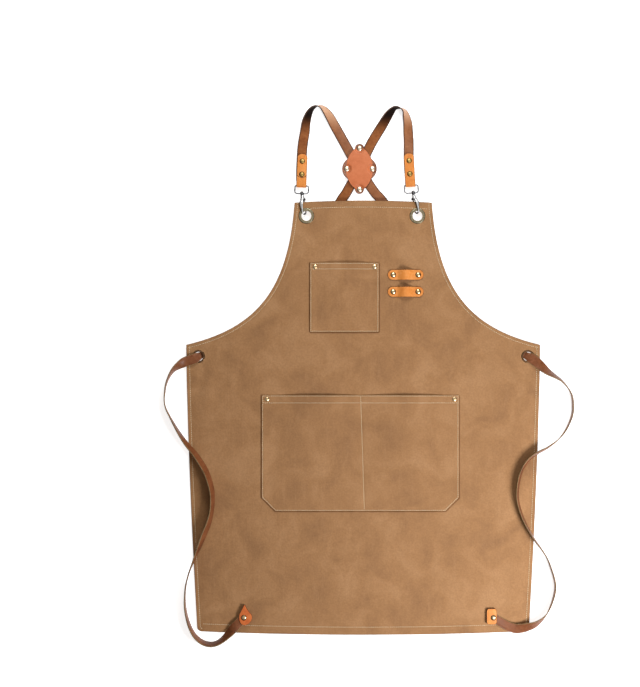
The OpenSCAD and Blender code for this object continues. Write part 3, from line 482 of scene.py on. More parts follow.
@dataclass
class StitchRow:
    """Rows of thread stitches lying on a surface.

    Attributes:
        lines: each row's points, x, y and z in millimetres.
        pitch: distance from one stitch to the next.
        length: length of a stitch that shows.
        radius: thickness of the thread, as a radius.
        sides: how many sides the thread has.
        rings: place along a stitch and thickness of each of its rings, as shares of its own.
    """

    lines: Sequence[Rows]
    pitch: float = 3.6
    length: float = 2.9
    radius: float = 0.42
    sides: int = 6
    rings: tuple = ((-0.36, 0.85), (0.0, 1.0), (0.36, 0.85))

    def stitch(self, line: Rows, run: Rows, at: float) -> list:
        """Shapes one stitch as a small spindle.

        Args:
            line: the row's points.
            run: distance along the row of each.
            at: distance along the row of the stitch's middle.

        Returns:
            Its points: one end, the rings, the other end.
        """
        mid = np.array([np.interp(at, run, line[:, i]) for i in range(3)])
        tip = np.array([np.interp(min(at + 1, run[-1]), run, line[:, i]) for i in range(3)])
        tail = np.array([np.interp(max(at - 1, 0), run, line[:, i]) for i in range(3)])
        t = (tip - tail) / (np.linalg.norm(tip - tail) + 1e-9)
        side = np.cross(t, [0, 0, 1])
        side /= np.linalg.norm(side) + 1e-9
        up = np.cross(side, t)
        points = [mid - t * self.length / 2 - up * self.radius * 0.8]
        for along, fat in self.rings:
            for j in range(self.sides):
                a = 2 * math.pi * j / self.sides
                points.append(mid + t * along * self.length
                              + self.radius * fat * (math.cos(a) * side * 1.15 + math.sin(a) * up))
        points.append(mid + t * self.length / 2 - up * self.radius * 0.8)
        return points

    def build(self) -> tuple[Rows, list]:
        """Meshes every stitch.

        Returns:
            The points and the faces.
        """
        verts, faces = [], []
        n, rounds = self.sides, len(self.rings)
        for line in self.lines:
            steps = np.linalg.norm(np.diff(line, axis=0), axis=1)
            run = np.concatenate([[0], np.cumsum(steps)])
            for at in np.arange(self.pitch / 2, run[-1], self.pitch):
                base = len(verts)
                verts += self.stitch(line, run, at)
                last = len(verts) - 1
                for j in range(n):
                    k = (j + 1) % n
                    faces.append([base, base + 1 + k, base + 1 + j])
                    for r in range(rounds - 1):
                        o = base + 1 + n * r
                        faces.append([o + j, o + k, o + n + k, o + n + j])
                    faces.append([last - n + j, last - n + k, last])
        return np.array(verts), faces


# ---- finishes


@dataclass(frozen=True)
class WaxedCanvas:
    """Cotton duck, plain woven and waxed: matt, with cloudy lighter and darker rubs where it has creased.

    Attributes:
        name: the material's name.
        deep, body, rubbed: its sRGB colours, from the darkest patches to the most rubbed.
        thread_mm: spacing of its threads.
    """

    name: str = "waxed cotton duck"
    deep: str = "946c47"
    body: str = "a0764e"
    rubbed: str = "ab8159"
    thread_mm: float = 1.5  # real duck has about 0.6 mm, too fine to show here, so it is drawn coarser

    def material(self) -> bpy.types.Material:
        """Builds the material.

        Returns:
            The canvas.
        """
        mat, tree = blank_material(self.name)
        place = add_node(tree, "TexCoord")
        mm = add_node(tree, "VectorMath", {0: place.outputs["Object"], "Scale": 1 / MM}, operation="SCALE")
        clouds = add_node(tree, "TexNoise", {"Vector": mm.outputs[0], "Scale": 1 / 70, "Detail": 5.0,
                                                       "Roughness": 0.58, "Distortion": 0.6})
        # creases run mostly up and down the cloth, so this pattern is stretched along Y
        long_way = add_node(tree, "Mapping", {"Vector": mm.outputs[0], "Scale": (1 / 9, 1 / 40, 1 / 9)})
        streaks = add_node(tree, "TexNoise", {"Vector": long_way.outputs[0], "Scale": 1.0, "Detail": 4.0,
                                                        "Roughness": 0.6})
        specks = add_node(tree, "TexNoise", {"Vector": mm.outputs[0], "Scale": 1 / 3.0, "Detail": 3.0})
        tone = add_node(tree, "ValToRGB", {"Fac": clouds.outputs["Fac"]})
        tone.color_ramp.elements[0].position, tone.color_ramp.elements[0].color = 0.34, linear(self.deep)
        tone.color_ramp.elements[1].position, tone.color_ramp.elements[1].color = 0.68, linear(self.rubbed)
        tone.color_ramp.elements.new(0.5).color = linear(self.body)
        veil = add_node(tree, "MapRange", {"Value": streaks.outputs["Fac"], "From Min": 0.5, "From Max": 0.8,
                                                     "To Min": 0.0, "To Max": 0.5})
        rubs = add_node(tree, "Mix", {0: veil.outputs[0], "A": tone.outputs["Color"],
                                      "B": linear(self.rubbed)},
                        data_type="RGBA")
        grain = add_node(tree, "MapRange", {"Value": specks.outputs["Fac"], "From Min": 0.3, "From Max": 0.7,
                                                      "To Min": 0.9, "To Max": 1.08})
        shade = add_node(tree, "VectorMath", {0: rubs.outputs["Result"], 1: (1, 1, 1)}, operation="MULTIPLY")
        tree.links.new(grain.outputs[0], shade.inputs[1])
        # a wave repeats every 2 pi / 20 units at scale 1
        per_thread = 2 * math.pi / 20 / self.thread_mm
        warp = add_node(tree, "TexWave", {"Vector": mm.outputs[0], "Scale": per_thread, "Distortion": 0.7,
                                                    "Detail": 1.0, "Detail Scale": 0.3}, bands_direction="X")
        weft = add_node(tree, "TexWave", {"Vector": mm.outputs[0], "Scale": per_thread, "Distortion": 0.7,
                                                    "Detail": 1.0, "Detail Scale": 0.3}, bands_direction="Y")
        cross = add_node(tree, "Math", {0: warp.outputs["Fac"], 1: weft.outputs["Fac"]},
                         operation="MULTIPLY")
        knots = add_node(tree, "Math", {0: cross.outputs[0], 1: specks.outputs["Fac"]}, operation="ADD")
        weave = add_node(tree, "Bump", {"Height": knots.outputs[0], "Strength": 0.35,
                                                  "Distance": 0.25 * MM})
        soft = add_node(tree, "Bump", {"Height": streaks.outputs["Fac"], "Strength": 0.22,
                                                 "Distance": 1.6 * MM, "Normal": weave.outputs[0]})
        wax = add_node(tree, "MapRange", {"Value": clouds.outputs["Fac"], "From Min": 0.3, "From Max": 0.7,
                                                    "To Min": 0.72, "To Max": 0.88})
        skin = add_node(tree, "BsdfPrincipled", {
            "Base Color": shade.outputs[0], "Roughness": wax.outputs[0], "Normal": soft.outputs[0],
            "IOR": 1.45, "Sheen Weight": 0.06, "Sheen Roughness": 0.5, "Specular IOR Level": 0.25})
        add_node(tree, "OutputMaterial", {"Surface": skin.outputs[0]})
        return mat


@dataclass(frozen=True)
class OiledLeather:
    """Vegetable-tanned hide, oiled: a satin face with fine pores and slow changes of tone.

    Attributes:
        name: the material's name.
        deep, body, lit: its sRGB colours, from the darkest to the lightest.
        pore_mm: size of its pores.
        polish: the roughness of its face.
        streak_mm: length and width of its tone changes.
        shine: how much its surface reflects.
        bend: the colour of the painted light or shade that the face turns to where a strap bends over the
            shoulder, or none.
        painted_bend_mm: distance up the apron where that painted light or shade starts, and where it is
            complete.
    """

    name: str
    deep: str
    body: str
    lit: str
    pore_mm: float = 0.9  # real pores are about 0.2 mm, so they are drawn coarser to show
    polish: float = 0.46
    streak_mm: tuple[float, float] = (30.0, 10.0)
    shine: float = 0.3
    bend: str = ""
    painted_bend_mm: tuple[float, float] = (452.0, 494.0)

    def material(self) -> bpy.types.Material:
        """Builds the material.

        Returns:
            The leather.
        """
        mat, tree = blank_material(self.name)
        place = add_node(tree, "TexCoord")
        mm = add_node(tree, "VectorMath", {0: place.outputs["Object"], "Scale": 1 / MM}, operation="SCALE")
        clouds = add_node(tree, "TexNoise", {"Vector": mm.outputs[0], "Scale": 1 / self.streak_mm[0],
                                                       "Detail": 4.0, "Roughness": 0.6, "Distortion": 0.4})
        fine = add_node(tree, "TexNoise", {"Vector": mm.outputs[0], "Scale": 1 / self.streak_mm[1] * 2,
                                                     "Detail": 5.0, "Roughness": 0.65})
        both = add_node(tree, "Mix", {0: 0.4, 2: clouds.outputs["Fac"], 3: fine.outputs["Fac"]},
                        data_type="FLOAT")
        tone = add_node(tree, "ValToRGB", {"Fac": both.outputs[0]})
        tone.color_ramp.elements[0].position, tone.color_ramp.elements[0].color = 0.36, linear(self.deep)
        tone.color_ramp.elements[1].position, tone.color_ramp.elements[1].color = 0.66, linear(self.lit)
        tone.color_ramp.elements.new(0.5).color = linear(self.body)
        pores = add_node(tree, "TexVoronoi", {"Vector": mm.outputs[0], "Scale": 1 / self.pore_mm},
                         feature="F1")
        pits = add_node(tree, "Bump", {"Height": pores.outputs["Distance"], "Strength": 0.16,
                                                 "Distance": 0.2 * MM})
        folds = add_node(tree, "Bump", {"Height": fine.outputs["Fac"], "Strength": 0.2,
                                                  "Distance": 0.6 * MM, "Normal": pits.outputs[0]})
        rough = add_node(tree, "MapRange", {"Value": fine.outputs["Fac"], "From Min": 0.3, "From Max": 0.7,
                                                      "To Min": self.polish - 0.07,
                                            "To Max": self.polish + 0.1})
        color = tone.outputs["Color"]
        # painted light or shade: the face is mixed towards the bend colour near the top of the strap, by
        # height up the apron
        if self.bend:
            up = add_node(tree, "SeparateXYZ", {0: mm.outputs[0]})
            near = add_node(tree, "MapRange", {
                "Value": up.outputs["Y"], "From Min": self.painted_bend_mm[0], "From Max": self.painted_bend_mm[1]},
                interpolation_type="SMOOTHSTEP")
            painted_light_mix = add_node(tree, "Mix", {0: near.outputs[0], "A": color, "B": linear(self.bend)},
                            data_type="RGBA")
            color = painted_light_mix.outputs["Result"]
        skin = add_node(tree, "BsdfPrincipled", {
            "Base Color": color, "Roughness": rough.outputs[0], "Normal": folds.outputs[0],
            "IOR": 1.5, "Specular IOR Level": self.shine})
        add_node(tree, "OutputMaterial", {"Surface": skin.outputs[0]})
        return mat


@dataclass(frozen=True)
class PlatedMetal:
    """Stamped or cast metal, plated and handled: bright, with soft scuffs, and painted shade on its steep
    sides and in its hollows.

    Attributes:
        name: the material's name.
        bright, dull: its sRGB colours where it is rubbed and where it is scuffed.
        steep_side_shade: the colour of the painted shade on its steep sides and in its hollows.
        roughness: its mean roughness.
        scuff_mm: size of the scuffs.
        crown: how level the face is where the painted shade starts to give way, and where it is gone.
    """

    name: str
    bright: str
    dull: str
    steep_side_shade: str
    roughness: float = 0.25
    scuff_mm: float = 2.0
    crown: tuple[float, float] = (0.55, 0.93)

    def material(self) -> bpy.types.Material:
        """Builds the material.

        Returns:
            The metal.
        """
        mat, tree = blank_material(self.name)
        place = add_node(tree, "TexCoord")
        mm = add_node(tree, "VectorMath", {0: place.outputs["Object"], "Scale": 1 / MM}, operation="SCALE")
        scuffs = add_node(tree, "TexNoise", {"Vector": mm.outputs[0], "Scale": 1 / self.scuff_mm,
                                                       "Detail": 4.0, "Roughness": 0.6})
        tone = add_node(tree, "ValToRGB", {"Fac": scuffs.outputs["Fac"]})
        tone.color_ramp.elements[0].position, tone.color_ramp.elements[0].color = 0.34, linear(self.dull)
        tone.color_ramp.elements[1].position, tone.color_ramp.elements[1].color = 0.56, linear(self.bright)
        # painted shade: faces that turn from straight up are mixed towards the dark steep-side colour, so
        # the metal has dark outlines round bright crowns
        way = add_node(tree, "SeparateXYZ", {0: place.outputs["Normal"]})
        level = add_node(tree, "MapRange", {
            "Value": way.outputs["Z"], "From Min": self.crown[0], "From Max": self.crown[1]},
            interpolation_type="SMOOTHSTEP")
        painted_light_mix = add_node(tree, "Mix", {0: level.outputs[0], "A": linear(self.steep_side_shade),
                                                "B": tone.outputs["Color"]}, data_type="RGBA")
        rough = add_node(tree, "MapRange", {
            "Value": scuffs.outputs["Fac"], "From Min": 0.3, "From Max": 0.7,
            "To Min": self.roughness + 0.1, "To Max": self.roughness - 0.05})
        dents = add_node(tree, "Bump", {"Height": scuffs.outputs["Fac"], "Strength": 0.08,
                                                  "Distance": 0.1 * MM})
        skin = add_node(tree, "BsdfPrincipled", {
            "Base Color": painted_light_mix.outputs["Result"], "Metallic": 1.0, "Roughness": rough.outputs[0],
            "Normal": dents.outputs[0]})
        add_node(tree, "OutputMaterial", {"Surface": skin.outputs[0]})
        return mat


@dataclass(frozen=True)
class SpunThread:
    """Bonded polyester sewing thread, spun: pale, with a soft sheen and a fine twist.

    Attributes:
        name: the material's name.
        pale, shaded: its sRGB colours on the crowns and between the plies.
    """

    name: str = "bonded polyester thread"
    pale: str = "f4e4c4"
    shaded: str = "d9bf92"

    def material(self) -> bpy.types.Material:
        """Builds the material.

        Returns:
            The thread.
        """
        mat, tree = blank_material(self.name)
        place = add_node(tree, "TexCoord")
        mm = add_node(tree, "VectorMath", {0: place.outputs["Object"], "Scale": 1 / MM}, operation="SCALE")
        twist = add_node(tree, "TexWave", {"Vector": mm.outputs[0], "Scale": 2 * math.pi / 20 / 0.5},
                         bands_direction="DIAGONAL")
        tone = add_node(tree, "Mix", {0: twist.outputs["Fac"], "A": linear(self.shaded),
                                                "B": linear(self.pale)}, data_type="RGBA")
        plies = add_node(tree, "Bump", {"Height": twist.outputs["Fac"], "Strength": 0.3,
                                                  "Distance": 0.08 * MM})
        skin = add_node(tree, "BsdfPrincipled", {
            "Base Color": tone.outputs["Result"], "Roughness": 0.55, "Normal": plies.outputs[0],
            "IOR": 1.5, "Sheen Weight": 0.2})
        add_node(tree, "OutputMaterial", {"Surface": skin.outputs[0]})
        return mat


class Finishes:
    """Every material of the apron, built once."""

    def __init__(self) -> None:
        """Builds the materials."""
        self.canvas = WaxedCanvas().material()
        # the same duck in darker colours, as painted shade along the cloth's edges and round the pockets
        self.fold = WaxedCanvas(
            "cotton duck edge with painted shade", "5a3c22", "6b482b", "7c5635").material()
        self.thread = SpunThread().material()
        # strap leather: oiled brown harness hide, with painted light on its grain side where it bends over
        # the shoulder
        self.outer = OiledLeather(
            "oiled harness hide, grain side", "7c4a29", "8e5835", "9f6841", bend="c89a78").material()
        # its flesh side is rougher, with painted shade that goes nearly black inside the bend
        self.inner = OiledLeather(
            "oiled harness hide, flesh side", "7a4526", "8d5530", "9d643b", polish=0.7, shine=0.06,
            bend="170b05", painted_bend_mm=(440.0, 482.0)).material()
        # the ties are handled most, so their faces are darker and their cut edges stay pale
        self.tie = OiledLeather(
            "handled tie hide", "5f351c", "784526", "8b5532").material()
        self.tie_edge = OiledLeather(
            "cut edge of tie hide", "6d5233", "866a45", "977b54", polish=0.6).material()
        # the left tie's tab was cut from a redder hide
        self.russet = OiledLeather(
            "red russet hide", "b4552a", "c9652f", "d9793c", polish=0.45, streak_mm=(24.0, 9.0)).material()
        # its edges are rubbed with wax until they are dark and smooth
        self.strap_edge = OiledLeather(
            "burnished dark hide edge", "3a2012", "4c2c1a", "5c3822", polish=0.45).material()
        # tab leather: undyed russet hide that has taken the sun
        self.tan = OiledLeather(
            "russet tan hide", "cf7a35", "de8b3f", "e89b55", polish=0.5, streak_mm=(24.0, 9.0)).material()
        self.tan_edge = OiledLeather(
            "cut edge of tan hide", "5b3418", "6f421f", "85532a", polish=0.6).material()
        self.patch = OiledLeather(
            "chestnut hide", "bd683e", "c87247", "d07d52", polish=0.48, streak_mm=(40.0, 14.0)).material()
        # painted shade on the lobes round the patch's rivets, where the front leaf sinks
        self.lobe_shade = OiledLeather(
            "chestnut hide with painted shade", "83523a", "936149", "a17156", polish=0.42).material()
        # rivet caps: polished brass, a little dulled
        self.brass = PlatedMetal(
            "polished rivet brass", "f6dfb4", "c9a36c", "3c2410", 0.3, 1.5, (0.83, 0.93)).material()
        # the strap tabs' caps have gone olive
        self.aged = PlatedMetal(
            "aged rivet brass", "c2a565", "a08648", "5e3f1c", 0.5, 1.2, (0.85, 0.94)).material()
        # the crossing patch's caps are plated brighter
        self.bright = PlatedMetal(
            "bright plated rivet", "fff2dc", "ecd2ab", "4e3420", 0.34, 1.5, (0.8, 0.88)).material()
        # bib grommets: antiqued nickel, pale on the crown, with painted shade at both rims
        self.antique = PlatedMetal(
            "antiqued nickel silver", "b8ae90", "80765c", "1c1610", 0.34, 2.4, (0.7, 0.985)).material()
        # waist grommets: the same ring with the tie's oil rubbed into it
        self.oiled = PlatedMetal(
            "oiled antique brass", "7d5f45", "4c3524", "1c120c", 0.4, 2.4).material()
        self.nickel = PlatedMetal(
            "bright nickel plate", "fbfbfa", "e2e3e5", "0c0c0e", 0.4, 3.0, (0.55, 0.8)).material()
        # the eyes are the same plate in darker colours: painted shade that tones down their reflections
        self.shaded_nickel = PlatedMetal(
            "nickel plate with painted shade", "8f9194", "5f6165", "0c0c0e", 0.42, 3.0, (0.6, 0.97)).material()
        self.spring = PlatedMetal(
            "spring wire", "8b8c90", "5a5a5e", "26262a", 0.3, 1.0).material()


# ---- the cloth


@dataclass
class ApronCloth:
    """The one cut of canvas with its turned hems, and the stitches that hold them.

    Attributes hold its sizes in millimetres. Each of its folds is a line from x, y to x, y with a height
    and a half width, where the cloth pulls on a grommet. Each calm place is a box that stays flat. The waves
    are the length across, the length along, the seed and the height of its two sizes of unevenness.
    """

    waist_w: float = 668.0
    foot_w: float = 627.0
    bib_w: float = 259.0
    foot_y: float = -500.0
    top_y: float = 320.0
    waist_y: float = 48.0
    foot_bow: float = 7.0
    top_bow: float = 4.0
    foot_corner_r: float = 8.0
    thickness: float = 1.2
    skirt_lift: float = 3.6
    fold_y: float = 47.0
    bib_slope: float = 3.7 / 244.0
    side_hem: float = 6.2
    top_hem: float = 12.4
    foot_hem: float = 14.7
    bib_hole_r: float = 10.25
    waist_hole_r: float = 9.65
    stitch_groove: float = 0.34
    hem_rise: float = 0.3
    hem_turn: float = 1.1
    foot_sink: float = 2.3
    side_sink: float = 2.0
    waves: tuple = ((95, 150, 3.1, 1.5), (42, 60, 7.7, 0.55))
    wave_share: float = 0.9
    folds: tuple = ((288, 46, 322, -46, -1.5, 6.5), (300, 34, 326, -58, 1.1, 7.0),
                    (243, 72, 256, -70, 1.3, 11.0),
                    (206, 84, 214, -30, 0.9, 12.0), (-298, 12, -314, -50, -1.2, 6.0),
                    (-286, 8, -298, -86, 1.1, 8.0),
                    (-240, 70, -252, -60, 1.0, 11.0), (-118, 262, -96, 200, 1.0, 9.0),
                    (112, 262, 84, 214, 1.0, 9.0))
    calm: list = field(default_factory=list)

    def lift(self, y: Rows) -> Rows:
        """Height of the cloth's underside at y."""
        return self.skirt_lift + np.maximum(np.asarray(y) - self.fold_y, 0) * self.bib_slope

    def armhole(self, t: float) -> Point2:
        """Point of the right armhole edge.

        Args:
            t: how far along it, from the bib corner at 0 to the waist corner at 1.

        Returns:
            Its x and y.
        """
        reach, fall = (self.waist_w - self.bib_w) / 2, self.top_y - self.top_bow - self.waist_y
        top = self.top_y - self.top_bow
        p = [(self.bib_w / 2, top), (self.bib_w / 2 + 0.058 * reach, top - 0.625 * fall),
             (self.bib_w / 2 + 0.362 * reach, top - 0.885 * fall), (self.waist_w / 2, self.waist_y)]
        c = ((1 - t) ** 3, 3 * (1 - t) ** 2 * t, 3 * (1 - t) * t * t, t ** 3)
        return sum(a * q[0] for a, q in zip(c, p)), sum(a * q[1] for a, q in zip(c, p))

    def side_edge(self, s: float) -> Point2:
        """Point of the right side edge, from the waist corner at 0 to the bottom corner at 1."""
        fall = self.waist_y - (self.foot_y + self.foot_bow) - self.foot_corner_r
        return self.waist_w / 2 - (self.waist_w - self.foot_w) / 2 * s ** 1.5, self.waist_y - fall * s

    def foot_edge(self, x: float) -> float:
        """Height up the cloth of its bottom edge at x."""
        return self.foot_y + self.foot_bow * (2 * x / self.foot_w) ** 2

    def top_edge(self, x: float) -> float:
        """Height up the cloth of the bib's top edge at x."""
        return self.top_y - self.top_bow * (2 * x / self.bib_w) ** 2

    def right_side(self) -> list[Point2]:
        """The right edge.

        Returns:
            Its points, from the bib corner down to the bottom corner's round.
        """
        corner = (self.foot_w / 2 - self.foot_corner_r, self.foot_y + self.foot_bow + self.foot_corner_r)
        arc = [(corner[0] + self.foot_corner_r * math.cos(math.radians(a)),
                corner[1] + self.foot_corner_r * math.sin(math.radians(a))) for a in (-22, -45, -68)]
        return [self.armhole(i / 40) for i in range(40)] + [self.side_edge(i / 40) for i in range(41)] + arc

    def outline(self) -> Rows:
        """The cut's outline.

        Returns:
            Its points, anticlockwise.
        """
        right = self.right_side()
        half = self.foot_w / 2 - self.foot_corner_r
        foot = [(x, self.foot_edge(x)) for x in np.linspace(-half, half, 31)]
        top = [(x, self.top_edge(x)) for x in np.linspace(self.bib_w / 2, -self.bib_w / 2, 14)[1:-1]]
        left = [(-x, y) for x, y in right]
        return resample([*top, *left, *foot, *right[::-1]], 7.0, closed=True)

    def ripple(self, x: Rows, y: Rows) -> Rows:
        """Soft unevenness of cloth that has been folded and laid out again, away from what is riveted to it.

        Args:
            x: place across the apron.
            y: place up the apron.

        Returns:
            The height that it adds at each place.
        """
        still = np.ones(len(x))
        for x0, y0, x1, y1 in self.calm:
            gap = np.maximum(np.maximum(x0 - x, x - x1), np.maximum(y0 - y, y - y1))
            still *= smooth(gap / 28)
        wave = np.array([sum(noise.noise(Vector((a / across, b / along, seed))) * height
                             for across, along, seed, height in self.waves) for a, b in zip(x, y)])
        pulls = np.zeros(len(x))
        for x0, y0, x1, y1, height, width in self.folds:
            run, rise = x1 - x0, y1 - y0
            t = np.clip(((x - x0) * run + (y - y0) * rise) / (run * run + rise * rise), 0, 1)
            off = np.hypot(x - x0 - t * run, y - y0 - t * rise)
            pulls += height * np.exp(-(off / width) ** 2) * np.sin(math.pi * (0.08 + 0.84 * t)) ** 0.7
        return self.wave_share * wave * still + pulls * smooth(np.minimum(still * 3, 1))

    def droop(self, x: Rows, y: Rows) -> Rows:
        """How far the cloth sinks to the surface it lies on, near the bottom and side edges.

        Args:
            x: place across the apron.
            y: place up the apron.

        Returns:
            The distance at each place.
        """
        foot = smooth((self.foot_y + self.foot_bow + 34 - y) / 34) * self.foot_sink
        s = np.clip((self.waist_y - y) / 541, 0, 1)
        edge = self.waist_w / 2 - (self.waist_w - self.foot_w) / 2 * s ** 1.5
        sides = smooth((np.abs(x) - edge + 26) / 26) * smooth((-10 - y) / 60) * self.side_sink
        return np.maximum(foot, sides)

    def hem_shape(self, x: Rows, y: Rows, d: Rows) -> tuple[Rows, Rows]:
        """Shape of the turned hems and their stitched grooves.

        Args:
            x: place across the apron.
            y: place up the apron.
            d: distance from the edge.

        Returns:
            The height that they add above, and how much thicker they make the cloth below.
        """
        top_gap = (self.top_y - self.top_bow * (2 * x / self.bib_w) ** 2) - y
        foot_gap = y - (self.foot_y + self.foot_bow * (2 * x / self.foot_w) ** 2)
        groove = (self.stitch_groove * np.exp(-((d - self.side_hem) / 0.7) ** 2)
                  + self.stitch_groove * np.exp(-((top_gap - self.top_hem) / 0.8) ** 2)
                  + self.stitch_groove * np.exp(-((foot_gap - self.foot_hem) / 0.8) ** 2))
        band = np.maximum(np.maximum(smooth((self.side_hem + 0.6 - d) / 1.2),
                                     smooth((self.top_hem + 0.8 - top_gap) / 1.6)),
                          smooth((self.foot_hem + 0.8 - foot_gap) / 1.6))
        return self.hem_rise * band - groove, self.hem_turn * band

    def top(self, x: Rows, y: Rows, d: Rows) -> Rows:
        """Height of the cloth's upper face."""
        rise, _ = self.hem_shape(x, y, d)
        return self.lift(y) + self.thickness + self.ripple(x, y) - self.droop(x, y) + rise

    def under(self, x: Rows, y: Rows, d: Rows) -> Rows:
        """Height of the cloth's lower face."""
        rise, thick = self.hem_shape(x, y, d)
        return np.maximum(self.top(x, y, d) - rise - self.thickness - thick, 0.05)

    def surface(self, line: Rows, raise_by: float = 0.2) -> Rows:
        """Lays a line on the cloth.

        Args:
            line: its points, as x and y.
            raise_by: how far it stands above the face.

        Returns:
            Its points, as x, y and z.
        """
        x, y = line[:, 0], line[:, 1]
        z = self.lift(y) + self.thickness + self.ripple(x, y) - self.droop(x, y)
        return np.column_stack([line, z + raise_by])

    def build(self, finish: Finishes, holes: Sequence[tuple[float, float, float]]) -> Piece:
        """Makes the panel and its stitches.

        Args:
            finish: the apron's materials.
            holes: centre and radius of each grommet's hole.

        Returns:
            The panel.
        """
        outline = self.outline()
        marks = []
        for gap in (self.top_hem - 1.1, self.top_hem, self.top_hem + 1.1):
            xs = np.linspace(-self.bib_w / 2 + 9, self.bib_w / 2 - 9, 60)
            marks.append(np.array([(x, self.top_edge(x) - gap) for x in xs]))
        for gap in (self.foot_hem - 1.1, self.foot_hem, self.foot_hem + 1.1):
            xs = np.linspace(-self.foot_w / 2 + 11, self.foot_w / 2 - 11, 120)
            marks.append(np.array([(x, self.foot_edge(x) + gap) for x in xs]))
        cut = CutSheet(outline, self.top, self.under, 5.5, 0.75, (2.0, 4.2, 5.4, 6.2, 7.0, 8.4), holes,
                       marks)
        points, faces, slots = cut.build()
        # the edge slot takes the darker duck: painted shade along the cloth's edge
        panel = mesh_piece("canvas_cloth", points, faces, (finish.canvas, finish.fold, finish.canvas), slots)
        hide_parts("canvas_panel", "top_hem", "bottom_hem", "left_side_hem", "right_side_hem",
                    "left_armhole_hem", "right_armhole_hem")
        rows = [marks[1], marks[4]]
        for sign in (-1, 1):
            edge = resample([(sign * x, y) for x, y in self.right_side()], 3.0)
            rows.append(inset(edge, self.side_hem * sign * -1, closed=False))
        laid = [self.surface(r) for r in rows]
        stitch_points, stitch_faces = StitchRow(laid).build()
        seam = mesh_piece("canvas_hem_stitches", stitch_points, stitch_faces, (finish.thread,))
        return panel


# ---- pockets


